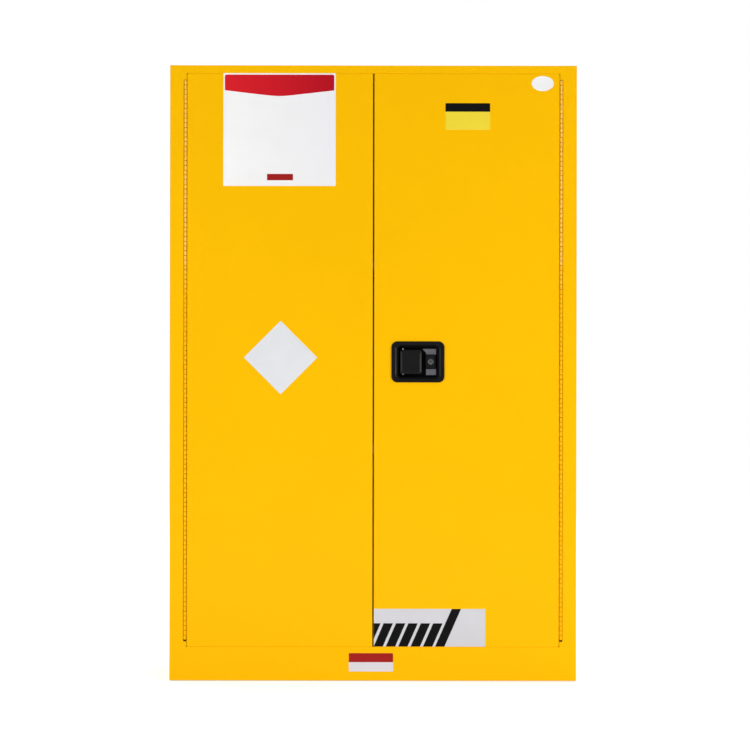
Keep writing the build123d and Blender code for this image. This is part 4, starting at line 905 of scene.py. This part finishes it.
paddle_low, paddle_high = low("paddle"), high("paddle")
paddle_back = paddle_low.y + PADDLE_SHEET
pin_x, pin_y, latch_z = middle("paddle_pin").x, middle("paddle_pin").y, middle("paddle").z
bevel_slope = PADDLE_BEVEL_DROP / PADDLE_BEVEL_WIDTH
plate_rings = []
# Rings from the back of the plate to its face, round the outer and then the inner edge of the bevel
for inset, drop in (
    (PADDLE_SOFT, PADDLE_SHEET),
    (0.0, PADDLE_SHEET - PADDLE_SOFT),
    (0.0, PADDLE_BEVEL_DROP + PADDLE_SOFT),
    (PADDLE_OUTER_INSET, PADDLE_BEVEL_DROP + PADDLE_OUTER_DROP),
    (PADDLE_SOFT, PADDLE_BEVEL_DROP - bevel_slope * PADDLE_SOFT),
    (PADDLE_OUTER_END, PADDLE_BEVEL_DROP - bevel_slope * PADDLE_OUTER_END),
    (PADDLE_BEVEL_WIDTH - PADDLE_INNER_END, bevel_slope * PADDLE_INNER_END),
    (PADDLE_BEVEL_WIDTH - PADDLE_SOFT, bevel_slope * PADDLE_SOFT),
    (PADDLE_BEVEL_WIDTH, bevel_slope * PADDLE_INNER_EDGE),
    (PADDLE_BEVEL_WIDTH + PADDLE_SOFT, 0.0),
    (PADDLE_BEVEL_WIDTH + 2 * PADDLE_SOFT, 0.0),
):
    plate_outline = rounded_outline(
        paddle_low.x + inset,
        paddle_high.x - inset,
        paddle_low.z + inset,
        paddle_high.z - inset,
        PADDLE_CORNER - PADDLE_CORNER_SHARE * inset,
    )
    plate_rings.append([(x, paddle_low.y + drop, z) for x, z in plate_outline])
paddle_builder = bmesh.new()
skin_rings(paddle_builder, plate_rings)
for foot, top in (
    (paddle_low.z, low("paddle_spring").z - BARREL_GAP),
    (high("paddle_spring").z + BARREL_GAP, paddle_high.z),
):
    barrel = [(BARREL_RADIUS, foot), (BARREL_RADIUS, top)]
    add_turned(paddle_builder, Vector((pin_x, pin_y, 0)), "Z", barrel, BARREL_SIDES)
    web_left, web_right = pin_x - BARREL_WEB, pin_x + BARREL_WEB
    web = [(web_left, paddle_back), (web_right, paddle_back), (web_right, pin_y), (web_left, pin_y)]
    add_upright(paddle_builder, web, foot, top)
tip_y = paddle_high.y - TAIL_TIP_RADIUS
tail_left, tail_right = pin_x - TAIL_HALF_SHEET, pin_x + TAIL_HALF_SHEET
tail = [(tail_left, pin_y), (tail_right, pin_y), (tail_right, tip_y), (tail_left, tip_y)]
add_upright(paddle_builder, tail, latch_z - TAIL_HALF_HEIGHT, latch_z + TAIL_HALF_HEIGHT)
tip = [(TAIL_TIP_RADIUS, -TAIL_HALF_HEIGHT), (TAIL_TIP_RADIUS, TAIL_HALF_HEIGHT)]
add_turned(paddle_builder, Vector((pin_x, tip_y, latch_z)), "Z", tip, TAIL_TIP_SIDES)
make_piece("pull_paddle", paddle_builder, "paddle", "latch_black", ("paddle",))

# Return spring, and the screws in the ears that hold the paddle's pin

COIL_RADIUS = 4.6 * MM
COIL_WIRE = 0.6 * MM
COIL_TURNS = 4
COIL_STEPS = 28
COIL_SIDES = 10

spring_foot = low("paddle_spring").z + COIL_WIRE
spring_pitch = (high("paddle_spring").z - COIL_WIRE - spring_foot) / COIL_TURNS
climb = Vector((0, 0, 1))
wire_turns = [2 * math.pi * index / COIL_SIDES for index in range(COIL_SIDES)]
coil_rings = []
for step in range(COIL_TURNS * COIL_STEPS + 1):
    turn = 2 * math.pi * step / COIL_STEPS
    outwards = Vector((math.cos(turn), math.sin(turn), 0))
    coil_axis = Vector((pin_x, pin_y, spring_foot + spring_pitch * step / COIL_STEPS))
    centre = coil_axis + COIL_RADIUS * outwards
    section = [math.cos(around) * outwards + math.sin(around) * climb for around in wire_turns]
    coil_rings.append([centre + COIL_WIRE * arm for arm in section])
coil_builder = bmesh.new()
skin_rings(coil_builder, coil_rings)
make_piece("return_spring", coil_builder, "right_door", "spring_steel", ("paddle_spring",))

EAR_DEPTH = 7 * MM
EAR_MIDDLE = 35.5 * MM
SCREW_RADIUS = 1.6 * MM
SCREW_HEIGHT = 1.1 * MM
SCREW_SIDES = 20

# The two screws are alike: the upper one is bright zinc, and the lower one has the black latch coat as painted
# shade
for name, facing, slot in (("upper_ear_screw", 1, "zinc_steel"), ("lower_ear_screw", -1, "latch_black")):
    screw_builder = bmesh.new()
    place = Vector((pin_x, FRONT_Y + EAR_DEPTH, latch_z + facing * EAR_MIDDLE))
    add_dome(screw_builder, place, "Y", -1, SCREW_RADIUS, SCREW_HEIGHT, SCREW_SIDES)
    make_piece(name, screw_builder, "right_door", slot)

# Painted seals in the gaps over and under the doors, and the hem along the left door's closing edge

SEAL_CLEARANCE = 0.06 * MM
SEAL_BITE = 0.25 * MM
SEAL_SHEET = 4 * MM
HEADER_SEAL_DROP = 0.05 * MM
SILL_SEAL_DROP = 0.8 * MM
HEM_OVERLAP = 1.6 * MM
HEM_PROUD = 0.06 * MM
HEM_REACH = 1.3 * MM
HEM_SHEET = 1.4 * MM
HEM_MARGIN = 0.8 * MM
HEM_CORNER, HEM_CORNER_STEPS = 0.4 * MM, 3
HEM_SOFT = 0.3 * MM


def seal(name, foot, top, drop):
    """A strip between the two hinges that closes a gap a little behind the front."""
    left, right = high("left_door_leaf").x, low("right_door_leaf").x
    front = FRONT_Y + drop
    builder = bmesh.new()
    outline = [(left, foot), (right, foot), (right, top), (left, top)]
    add_prism(builder, outline, front, front + SEAL_SHEET)
    make_piece(name, builder, "cabinet", "yellow_paint")


seal("header_seal", DOOR_TOP + SEAL_CLEARANCE, low("frame_header").z + SEAL_BITE, HEADER_SEAL_DROP)
seal("sill_seal", high("frame_sill").z - SEAL_BITE, DOOR_FOOT - SEAL_CLEARANCE, SILL_SEAL_DROP)

hem_edge = high("left_door_skin").x
hem_front = FRONT_Y - HEM_PROUD
hem_outline = rounded_outline(
    hem_edge - HEM_OVERLAP,
    hem_edge + HEM_REACH,
    DOOR_FOOT + HEM_MARGIN,
    DOOR_TOP - HEM_MARGIN,
    HEM_CORNER,
    HEM_CORNER_STEPS,
)
hem_builder = bmesh.new()
add_prism(hem_builder, hem_outline, hem_front, hem_front + HEM_SHEET)
make_piece("left_door_hem", hem_builder, "left_door", "yellow_paint", soft=HEM_SOFT)

# Blank stickers: film with plain printed fields

FILM = 0.25 * MM
PRINT = 0.06 * MM
FILM_CORNER, FILM_CORNER_STEPS = 1.5 * MM, 3


def sticker(name, body, outline, film, fields=()):
    """A film on the front with an outline of (x, z) points, and printed fields on it."""
    builder = bmesh.new()
    add_prism(builder, outline, FRONT_Y - FILM, FRONT_Y)
    materials = [film]
    for ink, field in fields:
        if ink not in materials:
            materials.append(ink)
        add_prism(builder, field, FRONT_Y - FILM - PRINT, FRONT_Y - FILM, materials.index(ink))
    make_piece(name, builder, body, materials=materials)


SQUARE_LEFT, SQUARE_RIGHT = -402.1 * MM, -101.4 * MM
SQUARE_FOOT, SQUARE_TOP = 1326.9 * MM, 1628.8 * MM
SQUARE_MARGIN, SQUARE_CORNER = 3.8 * MM, 4.6 * MM
SQUARE_MIDDLE = (SQUARE_LEFT + SQUARE_RIGHT) / 2
HEADER_FOOT, HEADER_POINT, HEADER_STEPS = 1583 * MM, 1565.4 * MM, 24
HEADER_BLUNTNESS = 0.12
BOX_LEFT, BOX_RIGHT, BOX_FOOT, BOX_TOP = -285.1 * MM, -215.3 * MM, 1342 * MM, 1359.1 * MM
HEADER_RED = colour(0.72, 0.013, 0.022)
HEADER_SHADE_RED = colour(0.45, 0.003, 0.013)
PAPER_WHITE = colour(0.96, 0.96, 0.96)
PAPER_SHADE_GREY = colour(0.87, 0.87, 0.9)

# The paper and the red header darken towards the sticker's right as painted shade
film_paper = vinyl("film_paper", PAPER_WHITE, (PAPER_SHADE_GREY, SQUARE_LEFT, SQUARE_RIGHT))
film_red = vinyl("film_red", HEADER_RED, (HEADER_SHADE_RED, SQUARE_LEFT, SQUARE_RIGHT))
header_left, header_right = SQUARE_LEFT + SQUARE_MARGIN, SQUARE_RIGHT - SQUARE_MARGIN
header_top = SQUARE_TOP - SQUARE_MARGIN
header_box = rounded_outline(header_left, header_right, SQUARE_FOOT, header_top, SQUARE_CORNER)
square_header = [(header_right, HEADER_FOOT)]
square_header += [point for point in header_box if point[1] > HEADER_FOOT]
header_half = (header_right - header_left) / 2
for step in range(HEADER_STEPS):
    reach = 2 * step / HEADER_STEPS - 1
    bluntness = HEADER_BLUNTNESS * (1 - reach * reach)
    fall = (HEADER_FOOT - HEADER_POINT) * (1 - math.hypot(reach, bluntness))
    square_header.append((SQUARE_MIDDLE + reach * header_half, HEADER_FOOT - fall))
sticker(
    "square_sticker",
    "left_door",
    rounded_outline(SQUARE_LEFT, SQUARE_RIGHT, SQUARE_FOOT, SQUARE_TOP, FILM_CORNER),
    film_paper,
    (
        (film_red, square_header),
        (film_brick, rounded_outline(BOX_LEFT, BOX_RIGHT, BOX_FOOT, BOX_TOP, FILM_CORNER, FILM_CORNER_STEPS)),
    ),
)

DIAMOND_X, DIAMOND_Z, DIAMOND_REACH = -248 * MM, 867.2 * MM, 98.4 * MM
DIAMOND_OUTLINE = [
    (DIAMOND_X - DIAMOND_REACH, DIAMOND_Z),
    (DIAMOND_X, DIAMOND_Z - DIAMOND_REACH),
    (DIAMOND_X + DIAMOND_REACH, DIAMOND_Z),
    (DIAMOND_X, DIAMOND_Z + DIAMOND_REACH),
]
sticker("diamond_sticker", "left_door", DIAMOND_OUTLINE, film_pearl)


def banded_sticker(name, body, left, right, foot, top, band_foot, film, ink):
    """A sticker with a plain band of another colour along its top."""
    outline = rounded_outline(left, right, foot, top, FILM_CORNER, FILM_CORNER_STEPS)
    band = [(right, band_foot), *(point for point in outline if point[1] > band_foot), (left, band_foot)]
    sticker(name, body, outline, film, ((ink, band),))


NOTICE_LEFT, NOTICE_RIGHT = 192.7 * MM, 312.5 * MM
NOTICE_FOOT, NOTICE_BAND_FOOT, NOTICE_TOP = 1477.8 * MM, 1526.5 * MM, 1549.3 * MM
banded_sticker(
    "notice_sticker",
    "right_door",
    NOTICE_LEFT,
    NOTICE_RIGHT,
    NOTICE_FOOT,
    NOTICE_TOP,
    NOTICE_BAND_FOOT,
    film_yellow,
    film_black,
)

PLINTH_LEFT, PLINTH_RIGHT = -63.9 * MM, 54.7 * MM
PLINTH_FOOT, PLINTH_BAND_FOOT, PLINTH_TOP = 26.5 * MM, 51.5 * MM, 75.7 * MM
banded_sticker(
    "plinth_sticker",
    "cabinet",
    PLINTH_LEFT,
    PLINTH_RIGHT,
    PLINTH_FOOT,
    PLINTH_TOP,
    PLINTH_BAND_FOOT,
    film_grey,
    film_brick,
)

OVAL_X, OVAL_Z = 453.2 * MM, 1602.2 * MM
OVAL_HALF_WIDTH, OVAL_HALF_HEIGHT, OVAL_SIDES = 29.6 * MM, 20.2 * MM, 48
oval_turns = [2 * math.pi * index / OVAL_SIDES for index in range(OVAL_SIDES)]
oval_outline = [
    (OVAL_X + OVAL_HALF_WIDTH * math.cos(turn), OVAL_Z + OVAL_HALF_HEIGHT * math.sin(turn))
    for turn in oval_turns
]
sticker("oval_sticker", "right_door", oval_outline, film_white)

STRIP_SIDE_MARGIN, STRIP_FOOT_MARGIN = 0.35 * MM, 0.9 * MM
STRIP_LEFT, STRIP_RIGHT = RIGHT_DOOR_EDGE + STRIP_SIDE_MARGIN, 301.6 * MM
STRIP_FOOT, STRIP_TOP = DOOR_FOOT + STRIP_FOOT_MARGIN, 194.4 * MM
STRIP_CORNER = 0.5 * MM
STRIPE_TOP = 155.8 * MM
STRIPE_START, STRIPE_PITCH, STRIPE_WIDTH = 29.2 * MM, 33.2 * MM, 25.2 * MM
STRIPE_LEAN = 0.44
STRIPES = 5
BAR_START, BAR_WIDTH = 211.5 * MM, 25 * MM


def leaning_bar(start, width, top):
    """A stripe that leans to the right, from the left end of its top to the strip's foot or left edge."""
    foot_shift = STRIPE_LEAN * (top - STRIP_FOOT)
    foot_left, foot_right = start - foot_shift, start + width - foot_shift
    if foot_right > STRIP_LEFT:
        foot = [(max(foot_left, STRIP_LEFT), STRIP_FOOT), (foot_right, STRIP_FOOT)]
    else:
        foot = [(STRIP_LEFT, top - (start + width - STRIP_LEFT) / STRIPE_LEAN)]
    return foot + [(start + width, top), (max(start, STRIP_LEFT), top)]


# The stripe before the first is cut off by the strip's left edge
stripe_starts = [STRIPE_START + index * STRIPE_PITCH for index in range(-1, STRIPES)]
stripes = [(film_black, leaning_bar(start, STRIPE_WIDTH, STRIPE_TOP)) for start in stripe_starts]
stripes.append((film_black, leaning_bar(BAR_START, BAR_WIDTH, STRIP_TOP)))
strip_outline = rounded_outline(
    STRIP_LEFT, STRIP_RIGHT, STRIP_FOOT, STRIP_TOP, STRIP_CORNER, FILM_CORNER_STEPS
)
sticker("strip_sticker", "right_door", strip_outline, film_silver, stripes)

# Camera, set so that the case fills the same pixels as in the photograph

CAMERA_DISTANCE = 5.0
CAMERA_REACH = 60.0
SENSOR_WIDTH = 36.0

across_scale = CASE_WIDTH / (PHOTO_CASE_RIGHT - PHOTO_CASE_LEFT)
upright_scale = (CASE_TOP - CASE_FOOT) / (PHOTO_CASE_FOOT - PHOTO_CASE_TOP)
metres_per_pixel = (across_scale + upright_scale) / 2
picture_width = PHOTO_SIZE * metres_per_pixel
photo_middle_x = (PHOTO_CASE_LEFT + PHOTO_CASE_RIGHT) / 2
photo_middle_z = (PHOTO_CASE_TOP + PHOTO_CASE_FOOT) / 2
camera_x = (PHOTO_SIZE / 2 - photo_middle_x) * metres_per_pixel
camera_z = (CASE_FOOT + CASE_TOP) / 2 + (photo_middle_z - PHOTO_SIZE / 2) * metres_per_pixel

camera_data = bpy.data.cameras.new("camera")
camera_data.sensor_width = SENSOR_WIDTH
camera_data.lens = SENSOR_WIDTH * CAMERA_DISTANCE / picture_width
camera_data.clip_end = CAMERA_REACH
camera = bpy.data.objects.new("camera", camera_data)
bpy.context.collection.objects.link(camera)
camera.location = (camera_x, FRONT_Y - CAMERA_DISTANCE, camera_z)
level = Matrix.Rotation(math.radians(90), 3, "X")
camera.rotation_euler = (level @ Matrix.Rotation(PHOTO_TURN, 3, "Z")).to_euler()
bpy.context.scene.camera = camera

# Light, floor and background


def seen_rays(tree):
    """1 for camera, glossy and transmission rays, which see the background."""
    path = add_node(tree, "ShaderNodeLightPath")
    either = larger(tree, path.outputs["Is Camera Ray"], path.outputs["Is Glossy Ray"])
    return larger(tree, either, path.outputs["Is Transmission Ray"])


SKY_STRENGTH = 0.51
FLOOR_GLOW = 0.52
FLOOR_TINT = 0.95
FLOOR_ROUGHNESS = 0.9
FLOOR_HALF = 14.0
WHITE = colour(1, 1, 1)

world = bpy.data.worlds.new("studio")
bpy.context.scene.world = world
world.use_nodes = True
sky_tree = world.node_tree
sky_tree.nodes.clear()
sky_strength = remap(sky_tree, seen_rays(sky_tree), SKY_STRENGTH, 1.0, 0.0, 1.0)
sky = add_node(sky_tree, "ShaderNodeBackground", {"Color": WHITE, "Strength": sky_strength})
sky_output = add_node(sky_tree, "ShaderNodeOutputWorld")
sky_tree.links.new(sky.outputs["Background"], sky_output.inputs["Surface"])

floor_material, floor_tree, floor_shader = new_tree("floor_white")
floor_shader.inputs["Base Color"].default_value = colour(FLOOR_TINT, FLOOR_TINT, FLOOR_TINT)
floor_shader.inputs["Roughness"].default_value = FLOOR_ROUGHNESS
floor_shader.inputs["Specular IOR Level"].default_value = 0.0
floor_shader.inputs["Emission Color"].default_value = WHITE
floor_glow = remap(floor_tree, seen_rays(floor_tree), 0.0, FLOOR_GLOW, 0.0, 1.0)
floor_tree.links.new(floor_glow, floor_shader.inputs["Emission Strength"])

floor_builder = bmesh.new()
floor_corners = [(FLOOR_HALF * x, FLOOR_HALF * y, 0) for x, y in ((-1, -1), (1, -1), (1, 1), (-1, 1))]
floor_builder.faces.new([floor_builder.verts.new(corner) for corner in floor_corners])
floor_mesh = bpy.data.meshes.new("floor")
floor_builder.to_mesh(floor_mesh)
floor_builder.free()
floor_mesh.materials.append(floor_material)
floor = bpy.data.objects.new("floor", floor_mesh)
bpy.context.collection.objects.link(floor)


def soft_lamp(name, place, width, height, watts, aim_height=CASE_TOP / 2):
    """A soft box that faces the cabinet's middle line at a height."""
    lamp_data = bpy.data.lights.new(name, "AREA")
    lamp_data.shape = "RECTANGLE"
    lamp_data.size, lamp_data.size_y = width, height
    lamp_data.energy = watts
    lamp = bpy.data.objects.new(name, lamp_data)
    bpy.context.collection.objects.link(lamp)
    lamp.location = place
    lamp.visible_camera = False
    aim = Vector((0, 0, aim_height)) - Vector(place)
    lamp.rotation_euler = aim.to_track_quat("-Z", "Y").to_euler()


KEY_PLACE, KEY_SIZE, KEY_WATTS = (3.55, -2.77, 0.6), 1.0, 43.5
FILL_PLACE, FILL_SIZE, FILL_WATTS = (-3.55, -2.77, 0.7), 1.9, 51
SPARK_PLACE, SPARK_SIZE, SPARK_WATTS = (3.3, -2.7, 2.05), 0.6, 15
FOOT_HEIGHT, FOOT_DISTANCE = 0.12, 1.5
FOOT_LAMP_WIDTH, FOOT_LAMP_HEIGHT, FOOT_WATTS = 1.6, 0.2, 2.3
BACK_PLACE, BACK_SIZE, BACK_WATTS = (0.8, 4.6, 3.0), 3.0, 100
TOP_PLACE, TOP_SIZE, TOP_WATTS = (0, 0.6, 5.0), 2.5, 50

soft_lamp("key_lamp", KEY_PLACE, KEY_SIZE, KEY_SIZE, KEY_WATTS)
soft_lamp("fill_lamp", FILL_PLACE, FILL_SIZE, FILL_SIZE, FILL_WATTS)
soft_lamp("spark_lamp", SPARK_PLACE, SPARK_SIZE, SPARK_SIZE, SPARK_WATTS)
foot_place = (0, -FOOT_DISTANCE, FOOT_HEIGHT)
soft_lamp("foot_lamp", foot_place, FOOT_LAMP_WIDTH, FOOT_LAMP_HEIGHT, FOOT_WATTS, FOOT_HEIGHT)
soft_lamp("back_lamp", BACK_PLACE, BACK_SIZE, BACK_SIZE, BACK_WATTS)
soft_lamp("top_lamp", TOP_PLACE, TOP_SIZE, TOP_SIZE, TOP_WATTS)

bpy.context.scene.view_settings.view_transform = "Standard"
